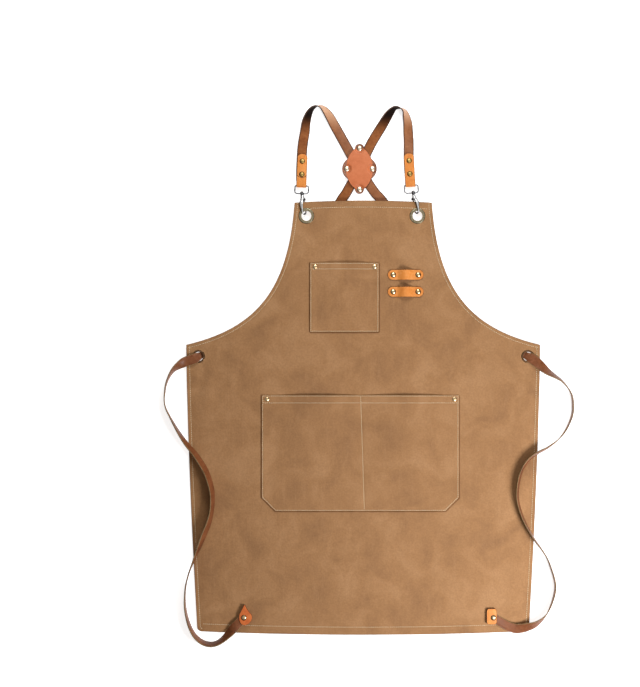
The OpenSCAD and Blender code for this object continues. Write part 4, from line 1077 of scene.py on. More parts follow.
@dataclass
class PatchPocket:
    """A pocket panel sewn to the cloth along its sides and bottom, with a turned hem at its mouth.

    Attributes:
        node: the pocket's CAD node, whose box gives its place and size.
        cloth: the cloth that it is sewn on.
        corner: length of its cut bottom corners.
        fullness: how far its front stands off the cloth at the mouth.
        mouth_hem: depth of the hem at its mouth.
        divider: x of the dividing seam at the mouth and at the bottom, or None.
        seam: distance from its left and bottom edges to the stitches.
        right_seam: distance from its right edge to the stitches.
    """

    node: str
    cloth: ApronCloth
    corner: float
    fullness: float
    mouth_hem: float
    divider: Optional[tuple[float, float]] = None
    seam: float = 2.8
    right_seam: float = 4.0

    def __post_init__(self) -> None:
        """Reads the pocket's place from its CAD node."""
        low, high = box_mm(self.node)
        self.x0, self.x1, self.y0, self.y1 = low[0], high[0], low[1], high[1]

    def outline(self) -> Rows:
        """The panel's outline.

        Returns:
            Its points, anticlockwise.
        """
        c = self.corner
        pts = [(self.x0, self.y1), (self.x0, self.y0 + c), (self.x0 + c, self.y0), (self.x1 - c, self.y0),
               (self.x1, self.y0 + c), (self.x1, self.y1)]
        return resample(pts, 4.5, closed=True)

    def divide_x(self, y: Rows) -> Rows:
        """x of the dividing seam at y."""
        top, bottom = self.divider
        return bottom + (top - bottom) * (y - self.y0) / (self.y1 - self.y0)

    def bulge(self, x: Rows, y: Rows) -> Rows:
        """How far the panel stands off the cloth.

        Args:
            x: place across the apron.
            y: place up the apron.

        Returns:
            The distance at each place.
        """
        side = self.seam + 9
        spans = [(self.x0 + side + self.corner * 0.55, self.x1 - side - self.corner * 0.55)]
        if self.divider:
            mid = self.divide_x(y)
            spans = [(spans[0][0], mid - 7), (mid + 7, spans[0][1])]
        full = np.zeros(len(x))
        for a, b in spans:
            t = np.clip((x - a) / (b - a), 0, 1)
            full = np.maximum(full, np.sin(math.pi * t) ** 1.1)
        down = smooth((y - self.y0 - self.seam - 5) / (0.45 * (self.y1 - self.y0)))
        slack = 0.45 + 0.55 * smooth((y - self.y0) / (self.y1 - self.y0))
        return self.fullness * full * down * slack

    def edge_gap(self, x: Rows, y: Rows) -> Rows:
        """Distance to the nearest sewn edge.

        Args:
            x: place across the apron.
            y: place up the apron.

        Returns:
            The distance at each place.
        """
        gap = np.minimum(np.minimum(x - self.x0, self.x1 - x), y - self.y0)
        slant = np.minimum((x - self.x0) + (y - self.y0), (self.x1 - x) + (y - self.y0)) - self.corner
        return np.minimum(gap, slant / math.sqrt(2))

    def base(self, x: Rows, y: Rows) -> Rows:
        """Height of the cloth beneath the pocket."""
        return self.cloth.lift(y) + self.cloth.thickness

    def top(self, x: Rows, y: Rows, d: Rows) -> Rows:
        """Height of the panel's face.

        Args:
            x: place across the apron.
            y: place up the apron.
            d: distance from the outline, which the panel works out itself.

        Returns:
            The height at each place.
        """
        gap, mouth = self.edge_gap(x, y), self.y1 - y
        turned = 0.75 * smooth((9 - gap) / 2) + 0.1
        hem = 0.7 * smooth((self.mouth_hem + 0.8 - mouth) / 1.6)
        groove = 0.4 * np.exp(-((gap - self.seam) / 0.8) ** 2) + 0.4 * np.exp(-((mouth - self.mouth_hem)
                                                                                / 0.8) ** 2)
        if self.divider:
            groove = np.maximum(groove, 0.6 * np.exp(-((x - self.divide_x(y)) / 1.3) ** 2))
        pucker = np.array([noise.noise(Vector((a / 30, b / 38, 11.0))) for a, b in zip(x, y)])
        loose = smooth((gap - 8) / 20)
        return (self.base(x, y) + 1.0 + np.maximum(turned, hem) - groove + self.bulge(x, y) + 0.7 * pucker
                * loose)

    def under(self, x: Rows, y: Rows, d: Rows) -> Rows:
        """Height of the panel's back."""
        return np.maximum(self.top(x, y, d) - 1.7, self.base(x, y) + 0.02)

    def on_face(self, line: Rows, raise_by: float = 0.3) -> Rows:
        """A line of x and y laid on the panel."""
        z = self.top(line[:, 0], line[:, 1], np.full(len(line), FAR))
        return np.column_stack([line, z + raise_by])

    def build(self, finish: Finishes) -> Piece:
        """Makes the panel and its stitches in place of the pocket's CAD nodes.

        Args:
            finish: the apron's materials.

        Returns:
            The panel.
        """
        outline = self.outline()
        xs = np.linspace(self.x0 + 6, self.x1 - 6, max(20, int((self.x1 - self.x0) / 4)))
        marks = [np.column_stack([xs, np.full(len(xs), self.y1 - g)])
                 for g in (self.mouth_hem - 1.2, self.mouth_hem, self.mouth_hem + 1.2)]
        ys = np.linspace(self.y0 + 5, self.y1 - 4, 50)
        if self.divider:
            marks += [np.column_stack([self.divide_x(ys) + off, ys]) for off in (-1.6, 0.0, 1.6)]
        bands = (1.5, self.seam - 0.8, self.seam, self.seam + 0.9)
        # the edge slot and a 1.5 mm strip of the face inside the outline take the darker duck: painted shade
        # round the pocket
        cut = CutSheet(outline, self.top, self.under, 4.5, 0.7, bands, (), marks, 1.5)
        points, faces, slots = cut.build()
        # the painted shade is left off the pocket's mouth
        slots = [0 if points[f][:, 1].min() > self.y1 - 1.55 else s for f, s in zip(faces, slots)]
        panel = mesh_piece(f"{self.node}_cloth", points, faces, (finish.canvas, finish.fold, finish.canvas),
                           slots)
        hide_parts(self.node, f"{self.node}_hem")
        c, s = self.corner, self.seam
        k = s * math.tan(math.radians(22.5))
        right = self.x1 - self.right_seam
        sewn = [(self.x0 + s, self.y1 - 1.5), (self.x0 + s, self.y0 + c + k), (self.x0 + c + k, self.y0 + s),
                (right - c - k + s, self.y0 + s), (right, self.y0 + c + k), (right, self.y1 - 1.5)]
        rows = [resample(sewn, 3.0), resample([(self.x0 + s, self.y1 - self.mouth_hem),
                                               (self.x1 - s, self.y1 - self.mouth_hem)], 3.0),
                resample([(self.x0 + s, self.y1 - 1.6), (self.x1 - s, self.y1 - 1.6)], 3.0)]
        if self.divider:
            rows.append(np.column_stack([self.divide_x(ys), ys]))
        laid = [self.on_face(r) for r in rows]
        points, faces = StitchRow(laid).build()
        seam = mesh_piece(f"{self.node}_stitches", points, faces, (finish.thread,))
        return panel


# ---- leather


@dataclass
class LeatherStrap:
    """One of the long straps or ties, swept along the route that it lies in.

    Attributes:
        name: the piece's name.
        node: its CAD node.
        route: points of x, y, height of what it lies on, roll in degrees and any narrower width.
        width: its full width.
        thickness: its thickness.
        smoothing: how many rings lie between two route points.
        dark_border: whether its faces are dark as far as the creased line.
    """

    name: str
    node: str
    route: Sequence[Sequence[float]]
    width: float = 19.0
    thickness: float = 2.2
    smoothing: int = 4
    dark_border: bool = True

    def rings(self) -> tuple[Rows, Rows, Rows]:
        """Smooths the route.

        Returns:
            Centres, directions of the width and widths along it.
        """
        r = np.array([[*p, self.width][:5] for p in self.route], float)
        roll = np.radians(r[:, 3])
        z = r[:, 2] + (r[:, 4] * np.abs(np.sin(roll)) + self.thickness * np.abs(np.cos(roll))) / 2
        keys = np.column_stack([r[:, 0], r[:, 1], z, roll, r[:, 4]])
        out = []
        for i in range(len(keys) - 1):
            a, b = keys[i], keys[i + 1]
            before = keys[i - 1] if i else 2 * a - b
            after = keys[i + 2] if i + 2 < len(keys) else 2 * b - a
            for j in range(self.smoothing):
                out.append(between(before, a, b, after, j / self.smoothing))
        out.append(keys[-1])
        k = np.array(out)
        way = np.gradient(k[:, :3], axis=0)
        way /= np.linalg.norm(way, axis=1)[:, None]
        flat = np.cross(way, [0, 0, 1])
        flat /= np.linalg.norm(flat, axis=1)[:, None]
        up = np.cross(flat, way)
        across = np.cos(k[:, 3])[:, None] * flat + np.sin(k[:, 3])[:, None] * up
        return k[:, :3], across, k[:, 4]

    def build(self, above: bpy.types.Material, edge: bpy.types.Material,
              below: bpy.types.Material) -> Piece:
        """Makes the strap in place of its CAD node.

        Args:
            above: finish of the face that is up where the roll is 0.
            edge: finish of its edges.
            below: finish of the other face.

        Returns:
            The strap.
        """
        centres, across, widths = self.rings()
        band = Band(centres, across, widths, self.thickness, 1.7, self.dark_border)
        points, faces, slots = band.build()
        points[:, 2] = np.maximum(points[:, 2], 0.05)
        piece = mesh_piece(self.name, points, faces, (above, edge, below), slots)
        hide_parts(self.node)
        return piece


@dataclass
class StrapTab:
    """A tan tab folded round the snap hook's eye, riveted through the strap's end.

    Attributes:
        side: which strap it is on.
        bar: where the eye's bar lies.
        lean: how the tab leans, in degrees.
        width, length, leather: its sizes in millimetres.
        bar_z: height of the eye's bar.
        wrap: radius of the middle of the leather round the bar.
        shade_line_arc: where the line of painted shade on the left tab starts and ends, in degrees round its
            own middle.
            shade_line_y, shade_line_r, shade_line_w: distance of that middle from the bar, and the line's
                radius and width.
    """

    side: Side
    bar: tuple[float, float]
    lean: float
    width: float = 19.0
    length: float = 60.0
    leather: float = 1.7
    bar_z: float = 4.0
    wrap: float = 2.25
    shade_line_arc: Point2 = (222, 318)
    shade_line_y: float = 27.2
    shade_line_r: float = 11.5
    shade_line_w: float = 1.1

    def build(self, finish: Finishes) -> Piece:
        """Makes the folded tab in place of its CAD node.

        Args:
            finish: the apron's materials.

        Returns:
            The tab.
        """
        arc = [(-self.wrap * math.sin(a), self.wrap * math.cos(a)) for a in np.linspace(0, math.pi, 9)]
        run = np.concatenate([np.linspace(self.length, self.length - 7, 9),
                              np.linspace(self.length - 10, 4, 12)])
        along = [(y, self.wrap) for y in run] + arc + [(y, -self.wrap) for y in run[::-1]]
        local = np.array([(0.0, y, z) for y, z in along])
        local[:, 2] += np.where(local[:, 2] > 1, 0.25 * np.cos(local[:, 1] / 9.0), 0)
        lengths = np.concatenate([[0], np.cumsum(np.linalg.norm(np.diff(local, axis=0), axis=1))])
        widths = rounded_ends(lengths, self.width, 7.0, True, True)
        a = math.radians(self.lean)
        turn = np.array([[math.cos(a), -math.sin(a), 0], [math.sin(a), math.cos(a), 0], [0, 0, 1]])
        centres = local @ turn.T + np.array([self.bar[0], self.bar[1], self.bar_z])
        across = np.tile(turn @ np.array([1.0, 0, 0]), (len(centres), 1))
        points, faces, slots = Band(centres, across, widths, self.leather, 1.6).build()
        name = f"{self.side.value}_strap_tab_leather"
        piece = mesh_piece(name, points, faces, (finish.tan, finish.tan_edge, finish.tan), slots)
        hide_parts(f"{self.side.value}_strap_tab")
        if self.side is Side.LEFT:
            self.shade_ridge(turn, finish)
        return piece

    def shade_ridge(self, turn: Rows, finish: Finishes) -> None:
        """Adds the curved line below the lower rivet: a low ridge in the dark edge colour, as painted shade
        along a ridge in the leather.

        Args:
            turn: the tab's rotation.
            finish: the apron's materials.
        """
        angles = np.radians(np.linspace(*self.shade_line_arc, 15))
        local = np.column_stack([self.shade_line_r * np.cos(angles), self.shade_line_y + self.shade_line_r * np.sin(angles),
                                 np.full(len(angles), self.wrap + self.leather / 2 + 0.02)])
        centres = local @ turn.T + np.array([self.bar[0], self.bar[1], self.bar_z])
        way = np.gradient(centres, axis=0)
        across = np.cross(way, [0, 0, 1.0])
        # a thin raised band in the dark edge colour: painted shade along the ridge
        points, faces, slots = Band(centres, across, np.full(len(angles), self.shade_line_w), 0.5, 0.0).build()
        line = mesh_piece("left_strap_tab_shade_line", points, faces, (finish.tan_edge,), [0] * len(slots))


@dataclass
class CrossingPatch:
    """The two leaves that pinch the straps where they cross, sunk at the four rivets.

    Attributes hold its sizes in millimetres.
    """

    rx: float = 25.4
    ry: float = 39.7
    side_r: float = 21.6
    side_x: float = 11.0
    lobe_r: float = 8.5
    leather: float = 1.7

    def __post_init__(self) -> None:
        """Reads the patch's place from its CAD node."""
        low, high = box_mm("patch_back")
        self.x, self.y, self.back_z = (low[0] + high[0]) / 2, (low[1] + high[1]) / 2, low[2]
        top = box_mm("patch_front")
        self.low_z, self.high_z = top[0][2] + self.leather, top[1][2]
        self.lobes = ((0.0, 38.5), (0.0, -38.5), (24.2, 0.0), (-24.2, 0.0))

    def radius(self, angle: float) -> float:
        """Distance from the patch's middle to its outline.

        Args:
            angle: the direction, in radians.

        Returns:
            The distance.
        """
        c, s = math.cos(angle), math.sin(angle)
        reach = [1 / math.sqrt((c / self.rx) ** 2 + (s / self.ry) ** 2)]
        discs = [(self.side_x, 0.0, self.side_r), (-self.side_x, 0.0, self.side_r)]
        discs += [(x, y, self.lobe_r) for x, y in self.lobes]
        for x, y, r in discs:
            near = x * c + y * s
            under = r * r - (x * x + y * y - near * near)
            if under > 0 and near + math.sqrt(under) > 0:
                reach.append(near + math.sqrt(under))
        return max(reach)

    def outline(self) -> Rows:
        """The patch's outline.

        Returns:
            Its points, anticlockwise.
        """
        angles = np.linspace(0, 2 * math.pi, 181)[:-1]
        return np.array([(self.x + self.radius(a) * math.cos(a), self.y + self.radius(a) * math.sin(a))
                         for a in angles])

    def front(self, x: Rows, y: Rows, d: Rows) -> Rows:
        """Height of the front leaf's face: proud over the straps, sunk at the rivets, with a pressed oval.

        Args:
            x: place across the apron.
            y: place up the apron.
            d: distance from the outline, which the leaf has no use for.

        Returns:
            The height at each place.
        """
        near = np.min([np.hypot(x - self.x - a, y - self.y - b) for a, b in self.lobes], axis=0)
        oval = np.sqrt(((x - self.x) / self.rx) ** 2 + ((y - self.y) / self.ry) ** 2)
        pressed = 0.35 * np.exp(-((oval - 0.93) / 0.035) ** 2)
        crown = 0.5 * np.clip(1 - oval ** 2, 0, 1)
        return self.low_z + (self.high_z - self.low_z) * smooth((near - 6.2) / 3.6) - pressed + crown

    def build(self, finish: Finishes) -> list[Piece]:
        """Makes both leaves in place of their CAD nodes.

        Args:
            finish: the apron's materials.

        Returns:
            The front leaf and the back leaf.
        """
        outline = self.outline()
        cut = CutSheet(outline, self.front, lambda x, y, d: self.front(x, y, d) - self.leather, 1.6, 0.6,
                       (1.6,))
        points, faces, slots = cut.build()
        mid = np.array([points[f].mean(0) for f in faces])
        oval = np.hypot((mid[:, 0] - self.x) / self.rx, (mid[:, 1] - self.y) / self.ry)
        # painted shade: the front leaf's face outside its pressed oval, round the sunk rivets, takes the
        # darker hide
        slots = [3 if s == 0 and out > 0.99 else s for s, out in zip(slots, oval)]
        front = mesh_piece("patch_front_leather", points, faces,
                           (finish.patch, finish.strap_edge, finish.patch, finish.lobe_shade), slots)
        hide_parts("patch_front")
        back_top = self.back_z + self.leather
        cut = CutSheet(outline, lambda x, y, d: np.full(len(x), back_top), lambda x, y,
                       d: np.full(len(x), self.back_z),
                       3.5, 0.6, (1.6,))
        points, faces, slots = cut.build()
        back = mesh_piece("patch_back_leather", points, faces,
                          (finish.patch, finish.strap_edge, finish.patch), slots)
        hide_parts("patch_back")
        return [front, back]


@dataclass
class PenLoop:
    """A strip of tan leather riveted at both ends, arched in the middle to take a pen.

    Attributes:
        node: its CAD node, whose box gives its place.
        cloth: the cloth that it is riveted to.
        leather: its thickness.
        rise: height of its arch.
        flat: distance from its middle to where the arch starts.
    """

    node: str
    cloth: ApronCloth
    leather: float = 1.7
    rise: float = 6.8
    flat: float = 17.5

    def build(self, finish: Finishes) -> Piece:
        """Makes the loop in place of its CAD node.

        Args:
            finish: the apron's materials.

        Returns:
            The loop.
        """
        low, high = box_mm(self.node)
        x, y = (low[0] + high[0]) / 2, (low[1] + high[1]) / 2
        half, r = (high[0] - low[0]) / 2, (high[1] - low[1]) / 2 - 0.02
        ends = [(half - r + r * math.cos(a), r * math.sin(a))
                for a in np.linspace(-math.pi / 2, math.pi / 2, 25)]
        ends += [(-(half - r) + r * math.cos(a), r * math.sin(a))
                 for a in np.linspace(math.pi / 2, 3 * math.pi / 2, 25)]
        outline = resample([(x + a, y + b) for a, b in ends], 1.5, closed=True)

        def top(px: Rows, py: Rows, d: Rows) -> Rows:
            """Height of the loop's face.

            Args:
                px: place across the apron.
                py: place up the apron.
                d: distance from the outline.

            Returns:
                The height at each place.
            """
            s = np.clip(np.abs(px - x) / self.flat, 0, 1)
            pressed = 0.2 * np.exp(-((d - 1.7) / 0.35) ** 2)
            return (self.cloth.lift(py) + self.cloth.thickness + self.leather + self.rise * (1 - s * s) ** 2
                    - pressed)

        cut = CutSheet(outline, top, lambda a, b, d: top(a, b, np.full(len(a), FAR)) - self.leather, 1.7,
                       0.55,
                       (1.3, 1.7, 2.1))
        points, faces, slots = cut.build()
        piece = mesh_piece(f"{self.node}_leather", points, faces, (finish.tan, finish.tan_edge, finish.tan),
                           slots)
        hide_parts(self.node)
        return piece


@dataclass
class TieTab:
    """Two small tan leaves folded over the end of a tie.

    Attributes:
        side: which tie it ends.
        shape: its outline round the rivet.
        at: the rivet's place.
        back_z: height of its lower face.
        leather: thickness of a leaf.
        slot: gap between the leaves.
    """

    side: Side
    shape: Sequence[Point2]
    at: Point2
    back_z: float = 5.9
    leather: float = 1.7
    slot: float = 2.4

    def build(self, finish: Finishes) -> list[Piece]:
        """Makes both leaves and the fold that joins them, in place of the CAD node.

        Args:
            finish: the apron's materials.

        Returns:
            The lower leaf, the upper leaf and the fold.
        """
        face = finish.russet if self.side is Side.LEFT else finish.tan
        smooth_shape = resample(self.shape, 1.6, closed=True)
        outline = smooth_shape + np.array(self.at)
        pieces = []
        for label, z in (("lower", self.back_z), ("upper", self.back_z + self.leather + self.slot)):
            def top(x: Rows, y: Rows, d: Rows, z: float = z) -> Rows:
                """Height of the leaf's face, a little crowned and pressed along its border."""
                return z + self.leather - 0.18 * np.exp(-((d - 1.6) / 0.35) ** 2)
            cut = CutSheet(outline, top, lambda x, y, d, z=z: np.full(len(x), z), 1.8, 0.55, (1.3, 1.6, 2.0))
            points, faces, slots = cut.build()
            name = f"{self.side.value}_tie_tab_{label}"
            leaf = mesh_piece(name, points, faces, (face, finish.tan_edge, face), slots)
            pieces.append(leaf)
        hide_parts(f"{self.side.value}_tie_tab")
        # the folded end that joins the two leaves, a closed wall just inside their edge
        ring = inset(outline, 0.5)
        if self.side is Side.LEFT:
            part = ring[ring[:, 1] > self.at[1] + 13]
            part = part[np.argsort(part[:, 0])]
        else:
            part = ring[ring[:, 0] < self.at[0] - 9.5]
            part = part[np.argsort(part[:, 1])]
        z0, z1 = self.back_z + 0.6, self.back_z + 2 * self.leather + self.slot - 0.6
        inner = part + (np.array(self.at) - part) * 0.14
        loop = np.concatenate([part, inner[::-1]])
        n = len(loop)
        points = np.concatenate([np.column_stack([loop, np.full(n, z0)]),
                                 np.column_stack([loop, np.full(n, z1)])])
        faces = [[i, (i + 1) % n, n + (i + 1) % n, n + i] for i in range(n)]
        fold = mesh_piece(f"{self.side.value}_tie_tab_fold", points, faces, (finish.tan_edge,))
        return pieces + [fold]


# ---- routes

# Each point is x, y, the height of what the leather lies on, its roll in degrees and, where it isn't full,
# its width, in millimetres. The ties come out of the waist grommets wider than their CAD nodes do.
LEFT_STRAP_ROUTE = [
    (-118, 357, 3, 180, 17), (-117, 378, 3, 180), (-116, 397, 3, 180), (-115, 416, 2.6, 179),
    (-113, 433, 1.2, 174), (-110, 450, 0.5, 164), (-108, 466, 0.5, 150), (-104, 480, 0.6, 132),
    (-98, 491, 0.7, 112), (-90, 497, 0.8, 93), (-81, 497, 0.8, 70), (-72, 490, 0.7, 46),
    (-63, 478, 0.5, 26), (-55, 464, 0.4, 12), (-46, 448, 0.8, 4), (-36, 430, 2, 0), (-25, 410, 2.7, 0),
    (-16, 395, 2.7, 0), (-7, 380, 2.7, 0), (2, 365, 2.7, 0), (13, 348, 2.7, 0), (24, 333, 1.2, 0),
    (36, 320, 0.3, 0), (60, 284, 0.3, 0), (83, 240, 0.3, 0), (106, 195, 0.3, 0), (132, 151, 0.3, 0),
    (164, 112, 0.3, 0), (202, 80, 0.3, 0), (242, 61, 0.3, 0), (270, 48.6, 0.3, 0, 17),
    (286.6, 39.6, 0.3, 0, 13.5), (299.2, 32.4, 0.3, 0, 12.5)]
RIGHT_STRAP_ROUTE = [
    (88, 359, 3, 180, 17), (87, 378, 3, 180), (86, 397, 3, 180), (86, 416, 2.6, 179), (86, 433, 1.2, 175),
    (85, 450, 0.5, 168), (84, 465, 0.5, 156), (81, 479, 0.6, 138), (77, 489, 0.7, 116), (69, 494, 0.8, 94),
    (60, 494, 0.8, 74), (53, 488, 0.7, 52), (45, 477, 0.5, 30), (36, 462, 0.4, 14), (26, 446, 0.8, 5),
    (16, 429, 2, 0), (7, 411, 2.9, 0), (0, 396, 4.9, 0), (-7, 380, 5, 0), (-15, 364, 4.9, 0),
    (-25, 347, 2.8, 0), (-33, 333, 1.2, 0), (-42, 320, 0.3, 0), (-64, 282, 0.3, 0), (-87, 238, 0.3, 0),
    (-112, 195, 0.3, 0), (-140, 151, 0.3, 0), (-174, 112, 0.3, 0), (-214, 80, 0.3, 0), (-246, 61, 0.3, 0),
    (-270, 48.2, 0.3, 0, 17), (-285.9, 39.3, 0.3, 0, 13.5), (-299.1, 32.2, 0.3, 0, 12.5)]
LEFT_TIE_ROUTE = [
    (-299.3, 32.1, 0.3, 0, 12.5), (-303.5, 29.8, 0.3, 0, 12.5), (-305.7, 28.6, 0.4, 0, 12.5),
    (-310.5, 26, 3.2, 0, 15), (-315.3, 23.4, 6.2, 0, 18.5), (-318, 22, 6.9, 0), (-324.5, 19.6, 6.9, 2),
    (-336, 15.8, 5.8, 14), (-348, 8.6, 4, 48), (-359, -1, 2, 72), (-367, -14, 0.6, 84),
    (-372, -28, 0.4, 89), (-374, -42, 0.4, 92), (-375, -57, 0.4, 95), (-372, -72, 0.5, 93),
    (-364, -88, 1.4, 90), (-354, -106, 3.6, 84), (-343, -124, 5.2, 76), (-331, -141, 5.2, 70),
    (-318, -156, 5.2, 66), (-307, -172, 5.2, 63), (-297, -189, 5.2, 63), (-290, -207, 5.2, 64),
    (-285, -227, 5.2, 67), (-284, -247, 5.2, 70), (-286, -268, 5.2, 70), (-291, -288, 5.2, 66),
    (-299, -308, 5.2, 64), (-307, -328, 5.2, 70), (-315, -347, 5.2, 80), (-322, -365, 5.2, 86),
    (-329, -384, 4.6, 90), (-334, -404, 2.4, 90), (-336, -423, 0.7, 90), (-336, -443, 0.4, 87),
    (-333, -463, 0.4, 84), (-327, -483, 0.4, 80), (-317, -501, 0.5, 76), (-302, -513, 1.6, 72),
    (-285, -516, 4.2, 70), (-269, -510, 5.4, 66), (-253, -496, 5.5, 48), (-243, -485, 6.7, 20, 18),
    (-236, -477.5, 7.7, 0, 17), (-221.5, -462.3, 7.7, 0, 16)]
RIGHT_TIE_ROUTE = [
    (299.4, 32.3, 0.3, 0, 12.5), (303.5, 29.95, 0.3, 0, 12.5), (305.7, 28.7, 0.4, 0, 12.5),
    (310.5, 26, 3.2, 0, 15), (315.3, 23.2, 6.2, 0, 18.5), (317.9, 21.6, 6.9, 0), (323.5, 17.8, 6.9, 2),
    (332, 10.5, 5.9, 16), (345, -1, 4, 44), (359, -10, 2, 66), (373, -19, 0.6, 78), (385, -32, 0.4, 84),
    (393, -47, 0.4, 88), (395, -64, 0.4, 90), (394, -82, 0.4, 90), (388, -100, 0.5, 88),
    (378, -118, 1.6, 86), (363, -134, 4.2, 80), (346, -146, 5.2, 76), (329, -155, 5.2, 72),
    (314, -166, 5.2, 71), (302, -181, 5.2, 71), (295, -198, 5.2, 71), (291, -218, 5.2, 72),
    (290, -240, 5.2, 73), (294, -260, 5.2, 74), (301, -280, 5.2, 76), (311, -300, 5.2, 78),
    (323, -320, 4.6, 81), (335, -336, 3, 85), (346, -353, 0.8, 88), (353, -371, 0.4, 90),
    (359, -390, 0.4, 90), (362, -408, 0.4, 90), (359, -427, 0.4, 88), (352, -447, 0.9, 84),
    (342, -464, 3, 74), (326, -477, 5.4, 52), (308, -484, 5.4, 28), (289, -487, 5.5, 14),
    (272, -482, 6.6, 7, 18), (260.5, -475.5, 7.7, 0, 17), (240.8, -463.4, 7.7, 0, 16)]
TEARDROP = [
    (-9, 1), (-8.8, -4), (-7, -9.4), (-3.6, -13.2), (1, -14.7), (6, -13.6), (10.6, -10.6), (14, -6.4),
    (15.8, -1.4),
    (15.8, 2.6), (14, 6.5), (10, 11), (6, 17), (2.6, 23.4), (1.2, 24.4), (0, 23.6), (-2, 18.5), (-6.6, 10),
    (-8.6, 5)]
SQUARE_TAB = [
    (-12.3, -8), (-11.4, -11), (-9.4, -12.8), (3.6, -12.8), (5.6, -11), (6.5, -8), (6.5, 12), (5.6, 15),
    (3.6, 16.8),
    (-9.4, 16.8), (-11.4, 15), (-12.3, 12)]


@dataclass
class Harness:
    """The crossed straps, their tabs and patch, and the ties.

    Attributes:
        bars: where each eye's top bar lies.
        leans: how each tab leans, in degrees.
        tie_rivets: where the tie ends' rivets are.
        tie_width: width of a tie, in metres. It is not used.
    """

    bars: dict = field(default_factory=lambda: {Side.LEFT: (-116.7, 347.8), Side.RIGHT: (89.1, 348.9)})
    leans: dict = field(default_factory=lambda: {Side.LEFT: -2.3, Side.RIGHT: 3.1})
    tie_rivets: dict = field(default_factory=lambda: {Side.LEFT: (-225.0, -466.0),
                                                      Side.RIGHT: (245.0, -466.0)})
    tie_width: float = 0.019

    def build(self, finish: Finishes) -> None:
        """Makes every leather piece of the harness.

        Args:
            finish: the apron's materials.
        """
        for side, route in ((Side.LEFT, LEFT_STRAP_ROUTE), (Side.RIGHT, RIGHT_STRAP_ROUTE)):
            outer_up = side is Side.LEFT
            above, below = (finish.outer, finish.inner) if outer_up else (finish.inner, finish.outer)
            strap = LeatherStrap(f"{side.value}_shoulder_strap_leather", f"{side.value}_shoulder_strap",
                                 route)
            strap.build(above, finish.strap_edge, below)
            StrapTab(side, self.bars[side], self.leans[side]).build(finish)
        CrossingPatch().build(finish)
        for side, route, shape in ((Side.LEFT, LEFT_TIE_ROUTE, TEARDROP),
                                   (Side.RIGHT, RIGHT_TIE_ROUTE, SQUARE_TAB)):
            strap = LeatherStrap(f"{side.value}_tie_leather", f"{side.value}_tie", route, dark_border=False)
            tie = strap.build(finish.tie, finish.tie_edge, finish.tie)
            tab = TieTab(side, shape, self.tie_rivets[side]).build(finish)
            centres = strap.rings()[0]


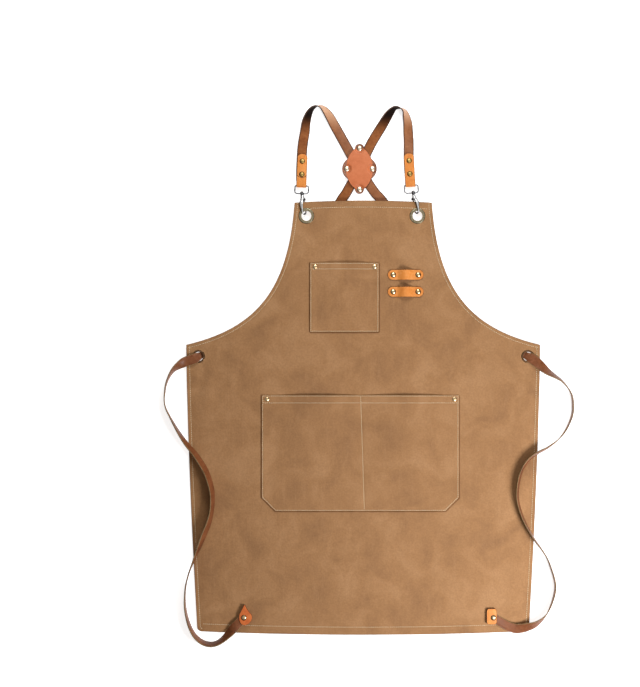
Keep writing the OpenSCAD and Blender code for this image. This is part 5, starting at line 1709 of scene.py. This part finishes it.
@dataclass
class HookCasting:
    """A snap hook as it is cast: a shank and collar, a swelling spine, the bend, the tip and two cheeks.

    Its sizes are in its own frame, in millimetres: X across the bend, -Y along it, Z across its flat.

    Attributes:
        side: which hook it is.
        bosses: middle of each hook's swivel boss, in the row frame.
        leans: how each hook leans in the cloth's plane, in degrees.
        tilt: how its flat stands out of that plane, in degrees.
        bend_y: middle of the bend.
        bend_r: radius of the bend's centre line.
        tip_y: end of the hook's tip.
        wire_r: radius of the bend, thin enough to pass the grommet at both ends of the swivel.
        pin, ear_r: where the gate's pin goes through the cheeks, and the cheeks' radius round it.
        root, root_r: middle and radius of the cheeks' other end, inside the collar.
        cheek_mid: middle of a cheek, to which its bevels shrink.
        cheek_z: distance of a cheek's two faces from the hook's flat.
        bevel: depth of a cheek's bevels, and the size of its face as a share of the whole.
        spine: middle, radius in the flat and radius across it, from the collar down to the bend.
        tip: distance from the tip's end and radius.
        shank: place along the hook and radius of the pivot, from the collar to its riveted head.
    """

    side: Side
    bosses: dict = field(default_factory=lambda: {Side.LEFT: (-115.5, 332.9, 7.7),
                                                  Side.RIGHT: (94.5, 334.3, 7.7)})
    leans: dict = field(default_factory=lambda: {Side.LEFT: 7.1, Side.RIGHT: 10.8})
    tilt: float = 60.0
    bend_y: float = -32.4
    bend_r: float = 6.5
    tip_y: float = -29.0
    wire_r: float = 1.6
    pin: Point2 = (5.0, -11.6)
    ear_r: float = 2.1
    root: Point2 = (-0.6, -10.3)
    root_r: float = 2.3
    cheek_mid: Point2 = (2.2, -10.9)
    cheek_z: Point2 = (1.6, 2.6)
    bevel: Point2 = (0.15, 0.93)
    spine: tuple = ((0, -3.4, 2.7, 2.7), (0, -5.2, 3.0, 3.2), (-0.3, -8.2, 2.9, 3.3), (-2.1, -11, 2.7, 3.5),
                    (-4.6, -13.6, 2.4, 3.5), (-6.6, -16.6, 2.2, 3.5), (-7.3, -20.5, 2.2, 3.3),
                    (-7.2, -24.0, 2.1, 2.9), (-6.9, -27.5, 1.9, 2.3), (-6.45, -30.5, 1.65, 1.75),
                    (-6.4, -32.2, 1.6, 1.6))
    tip: tuple = ((-1.0, 1.6), (-0.3, 1.4), (0, 1.0))
    shank: tuple = ((-4.0, 1.2), (3.29, 1.2), (3.3, 2.1), (4.1, 2.1), (4.5, 1.7), (4.6, 0.9))

    def placed(self, points: Rows) -> Rows:
        """Moves points from the hook's own frame to the row frame.

        Args:
            points: rows of x, y and z.

        Returns:
            The moved points.
        """
        t, a = math.radians(self.tilt), math.radians(self.leans[self.side])
        x0, y0, z0 = self.bosses[self.side]
        x = points[:, 0] * math.cos(t) + points[:, 2] * math.sin(t)
        z = -points[:, 0] * math.sin(t) + points[:, 2] * math.cos(t)
        x = -x * self.side.sign
        y = points[:, 1]
        return np.column_stack([x0 + x * math.cos(a) - y * math.sin(a),
                                y0 + x * math.sin(a) + y * math.cos(a),
                                z0 + z])

    def tube(self, path: Sequence[Sequence[float]], sides: int = 20) -> tuple[list, list]:
        """Sweeps a closed oval tube.

        Args:
            path: points of x, y, the radius in the flat and the radius across it.
            sides: how many sides the tube has.

        Returns:
            Its points and its faces.
        """
        p = np.array(path, float)
        way = np.gradient(p[:, :2], axis=0)
        way /= np.linalg.norm(way, axis=1)[:, None]
        verts, faces = [], []
        for (x, y, flat_r, across_r), (dx, dy) in zip(p, way):
            for k in range(sides):
                a = 2 * math.pi * k / sides
                reach = flat_r * math.cos(a)
                verts.append([x - dy * reach, y + dx * reach, across_r * math.sin(a)])
        for i in range(len(p) - 1):
            for k in range(sides):
                a, b = i * sides + k, i * sides + (k + 1) % sides
                faces.append([a, a + sides, b + sides, b])
        faces.append(list(range(sides)))
        faces.append(list(range(len(p) * sides - 1, (len(p) - 1) * sides - 1, -1)))
        return verts, faces

    def cheek(self, z0: float, z1: float) -> tuple[list, list]:
        """Cuts one cheek of the fork: a plate round the gate's pin that runs back into the collar.

        Args:
            z0: its lower face.
            z1: its upper face.

        Returns:
            Its points and its faces.
        """
        loop = [(self.pin[0] + self.ear_r * math.cos(a), self.pin[1] + self.ear_r * math.sin(a))
                for a in np.radians(np.linspace(-98, 82, 13))]
        loop += [(self.root[0] + self.root_r * math.cos(a), self.root[1] + self.root_r * math.sin(a))
                 for a in np.radians(np.linspace(82, 262, 13))]
        n = len(loop)
        mx, my = self.cheek_mid
        bevel, share = self.bevel
        verts = []
        for z, shrink in ((z0, share), (z0 + bevel, 1.0), (z1 - bevel, 1.0), (z1, share)):
            verts += [[mx + (x - mx) * shrink, my + (y - my) * shrink, z] for x, y in loop]
        faces = [[r * n + i, r * n + (i + 1) % n, (r + 1) * n + (i + 1) % n, (r + 1) * n + i]
                 for r in range(3) for i in range(n)]
        faces.append(list(range(n - 1, -1, -1)))
        faces.append(list(range(3 * n, 4 * n)))
        return verts, faces

    def body_path(self) -> list:
        """The casting's path from the collar down the spine, round the bend and up to the tip.

        Returns:
            Points of x, y and the two radii.
        """
        keys = np.array(self.spine, float)
        path = []
        for i in range(len(keys) - 1):
            before, after = keys[max(i - 1, 0)], keys[min(i + 2, len(keys) - 1)]
            path += [between(before, keys[i], keys[i + 1], after, t) for t in (0.0, 0.33, 0.67)]
        path += [(self.bend_r * math.cos(a), self.bend_y + self.bend_r * math.sin(a), self.wire_r,
                  self.wire_r)
                 for a in np.radians(np.linspace(186, 360, 19))]
        return path + [(self.bend_r, self.tip_y + y, r, r) for y, r in self.tip]

    def build(self, finish: Finishes) -> Piece:
        """Makes the casting in place of its CAD node.

        Args:
            finish: the apron's materials.

        Returns:
            The casting.
        """
        inner, outer = self.cheek_z
        shank = self.tube([(0, y, r, r) for y, r in self.shank])
        verts, faces = [], []
        for part in (self.tube(self.body_path()), shank, self.cheek(inner, outer),
                     self.cheek(-outer, -inner)):
            faces += [[i + len(verts) for i in f] for f in part[1]]
            verts += part[0]
        points = self.placed(np.array(verts))
        if self.side is Side.RIGHT:
            faces = [f[::-1] for f in faces]
        name = f"{self.side.value}_hook"
        piece = mesh_piece(f"{name}_casting", points, faces, (finish.nickel,), None,
                           f"{self.side.value}_snap_hook")
        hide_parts(name)
        return piece


@dataclass
class Hardware:
    """The CAD pieces of metal that keep their own shape and get their finish here."""

    brass: tuple = ("chest_pocket_rivets", "lower_pocket_rivets", "pen_loop_rivets", "cloth_rivet_backs",
                    "left_tie_tab_rivet", "right_tie_tab_rivet")
    aged: tuple = ("left_tab_rivets", "right_tab_rivets", "left_tab_rivet_backs", "right_tab_rivet_backs")
    bright: tuple = ("patch_rivets", "patch_rivet_backs")
    antique: tuple = ("left_bib_grommet", "right_bib_grommet", "left_bib_washer", "right_bib_washer")
    oiled: tuple = ("left_waist_grommet", "right_waist_grommet", "left_waist_washer", "right_waist_washer")
    shaded_nickel: tuple = ("left_eye", "right_eye")
    nickel: tuple = ("left_gate", "right_gate")
    spring: tuple = ("left_gate_pin", "right_gate_pin", "left_gate_spring", "right_gate_spring")

    def dress(self, finish: Finishes) -> None:
        """Gives each metal node its finish.

        Args:
            finish: the apron's materials.
        """
        for names, metal in ((self.brass, finish.brass), (self.aged, finish.aged),
                             (self.bright, finish.bright),
                             (self.antique, finish.antique), (self.oiled, finish.oiled),
                             (self.shaded_nickel, finish.shaded_nickel), (self.nickel, finish.nickel),
                             (self.spring, finish.spring)):
            for name in names:
                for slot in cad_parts[name].material_slots:
                    slot.material = metal
                LOG.info("%s: %s", name, metal.name)


# ---- stage


@dataclass
class Studio:
    """A pale floor, soft lights and the camera looking straight down. Its sizes are in metres.

    Attributes:
        centre: the place that the camera looks down on.
        height: the camera's height.
        frame_width: width of what it sees there.
        sensor: width of its sensor, in millimetres.
        floor_reach: half the floor's width.
        floor_drop: height of the floor.
        floor_glow: how strongly the floor is lit from below.
        soft_box: how level the sky's soft box starts and is full, and how bright the walls and the box are.
        lamps: name, place, power in watts, size and colour of each lamp.
    """

    centre: Point2 = (-0.0815, 0.0504)
    height: float = 3.2
    frame_width: float = 1.2096
    floor_reach: float = 30.0
    floor_drop: float = -0.0006
    sensor: float = 36.0
    floor_glow: float = 0.75
    soft_box: tuple = (0.55, 0.9, 0.04, 0.42)
    lamps: tuple = (("lamp at the bib end", (0.1, 0.95, 0.7), 7.2, 0.6, "ffffff"),
                    ("key at the lower right", (0.68, -0.66, 0.85), 15.0, 0.45, "fbfbff"))

    def camera(self) -> None:
        """Sets the camera above the apron."""
        data = bpy.data.cameras.new("overhead camera")
        data.sensor_fit = "HORIZONTAL"
        data.sensor_width = self.sensor
        data.lens = self.sensor * self.height / self.frame_width
        data.clip_end = 50.0
        view = bpy.data.objects.new("overhead camera", data)
        view.location = (self.centre[0], self.centre[1], self.height)
        bpy.context.scene.collection.objects.link(view)
        bpy.context.scene.camera = view

    def light(self, name: str, place: tuple[float, float, float], power: float, size: float,
              color: str) -> None:
        """Adds one round lamp that points at the middle of the apron.

        Args:
            name: the lamp's name.
            place: where it stands.
            power: its power in watts.
            size: its diameter.
            color: its sRGB hex colour.
        """
        data = bpy.data.lights.new(name, "AREA")
        data.energy = power
        data.color = linear(color)[:3]
        data.shape = "DISK"
        data.size = size
        lamp = bpy.data.objects.new(name, data)
        lamp.location = place
        lamp.rotation_euler = (-Vector(place)).to_track_quat("-Z", "Y").to_euler()
        bpy.context.scene.collection.objects.link(lamp)

    def floor(self) -> None:
        """Lays the white floor."""
        mesh = bpy.data.meshes.new("studio floor")
        reach, drop = self.floor_reach, self.floor_drop
        corners = [(-reach, -reach, drop), (reach, -reach, drop), (reach, reach, drop),
                   (-reach, reach, drop)]
        mesh.from_pydata(corners, [], [(0, 1, 2, 3)])
        mat, tree = blank_material("backlit white acrylic")
        skin = add_node(tree, "BsdfPrincipled", {
            "Base Color": linear("f0f0f0"), "Roughness": 0.9, "Emission Color": linear("ffffff"),
            "Emission Strength": self.floor_glow})
        add_node(tree, "OutputMaterial", {"Surface": skin.outputs[0]})
        mesh.materials.append(mat)
        sheet = bpy.data.objects.new("studio_floor", mesh)
        bpy.context.scene.collection.objects.link(sheet)

    def build(self) -> None:
        """Sets up the camera, the floor and the lights."""
        self.camera()
        self.floor()
        world = bpy.data.worlds.new("studio air")
        bpy.context.scene.world = world
        world.use_nodes = True
        world.node_tree.nodes.clear()
        # a soft box straight above, and dim walls: metal gets dark sides, and shadows stay short
        way = add_node(world.node_tree, "TexCoord")
        up = add_node(world.node_tree, "SeparateXYZ", {0: way.outputs["Generated"]})
        start, full, walls, bright = self.soft_box
        box = add_node(world.node_tree, "MapRange", {
            "Value": up.outputs["Z"], "From Min": start, "From Max": full, "To Min": walls,
            "To Max": bright})
        glow = add_node(world.node_tree, "Background", {"Color": linear("fff6ec"),
                                                                  "Strength": box.outputs[0]})
        add_node(world.node_tree, "OutputWorld", {"Surface": glow.outputs[0]})
        for lamp in self.lamps:
            self.light(*lamp)
        bpy.context.scene.view_settings.view_transform = "Standard"


def hole_list(cloth: ApronCloth) -> list[tuple[float, float, float]]:
    """Finds the cloth's holes.

    Args:
        cloth: the apron's cloth.

    Returns:
        Centre and radius of the hole under each grommet.
    """
    out = []
    for node, radius in (("bib", cloth.bib_hole_r), ("waist", cloth.waist_hole_r)):
        for side in Side:
            low, high = box_mm(f"{side.value}_{node}_grommet")
            out.append(((low[0] + high[0]) / 2, (low[1] + high[1]) / 2, radius))
    return out


def main() -> None:
    """Builds the whole apron and its studio."""
    logging.basicConfig(level=logging.INFO, format="%(message)s")
    Studio().build()
    finish = Finishes()
    cloth = ApronCloth()
    for node in ("chest_pocket", "lower_pocket", "upper_pen_loop", "lower_pen_loop", "left_bib_grommet",
                 "right_bib_grommet", "left_waist_grommet", "right_waist_grommet"):
        low, high = box_mm(node)
        cloth.calm.append((low[0], low[1], high[0], high[1]))
    Harness().build(finish)
    cloth.build(finish, hole_list(cloth))
    PatchPocket("chest_pocket", cloth, corner=1.5, fullness=3.2, mouth_hem=12.0).build(finish)
    PatchPocket("lower_pocket", cloth, corner=26.0, fullness=3.6, mouth_hem=14.6,
                divider=(-4.9, 2.2)).build(finish)
    for node in ("upper_pen_loop", "lower_pen_loop"):
        PenLoop(node, cloth).build(finish)
    for side in Side:
        HookCasting(side).build(finish)
    Hardware().dress(finish)


if __name__ == "__main__":
    main()
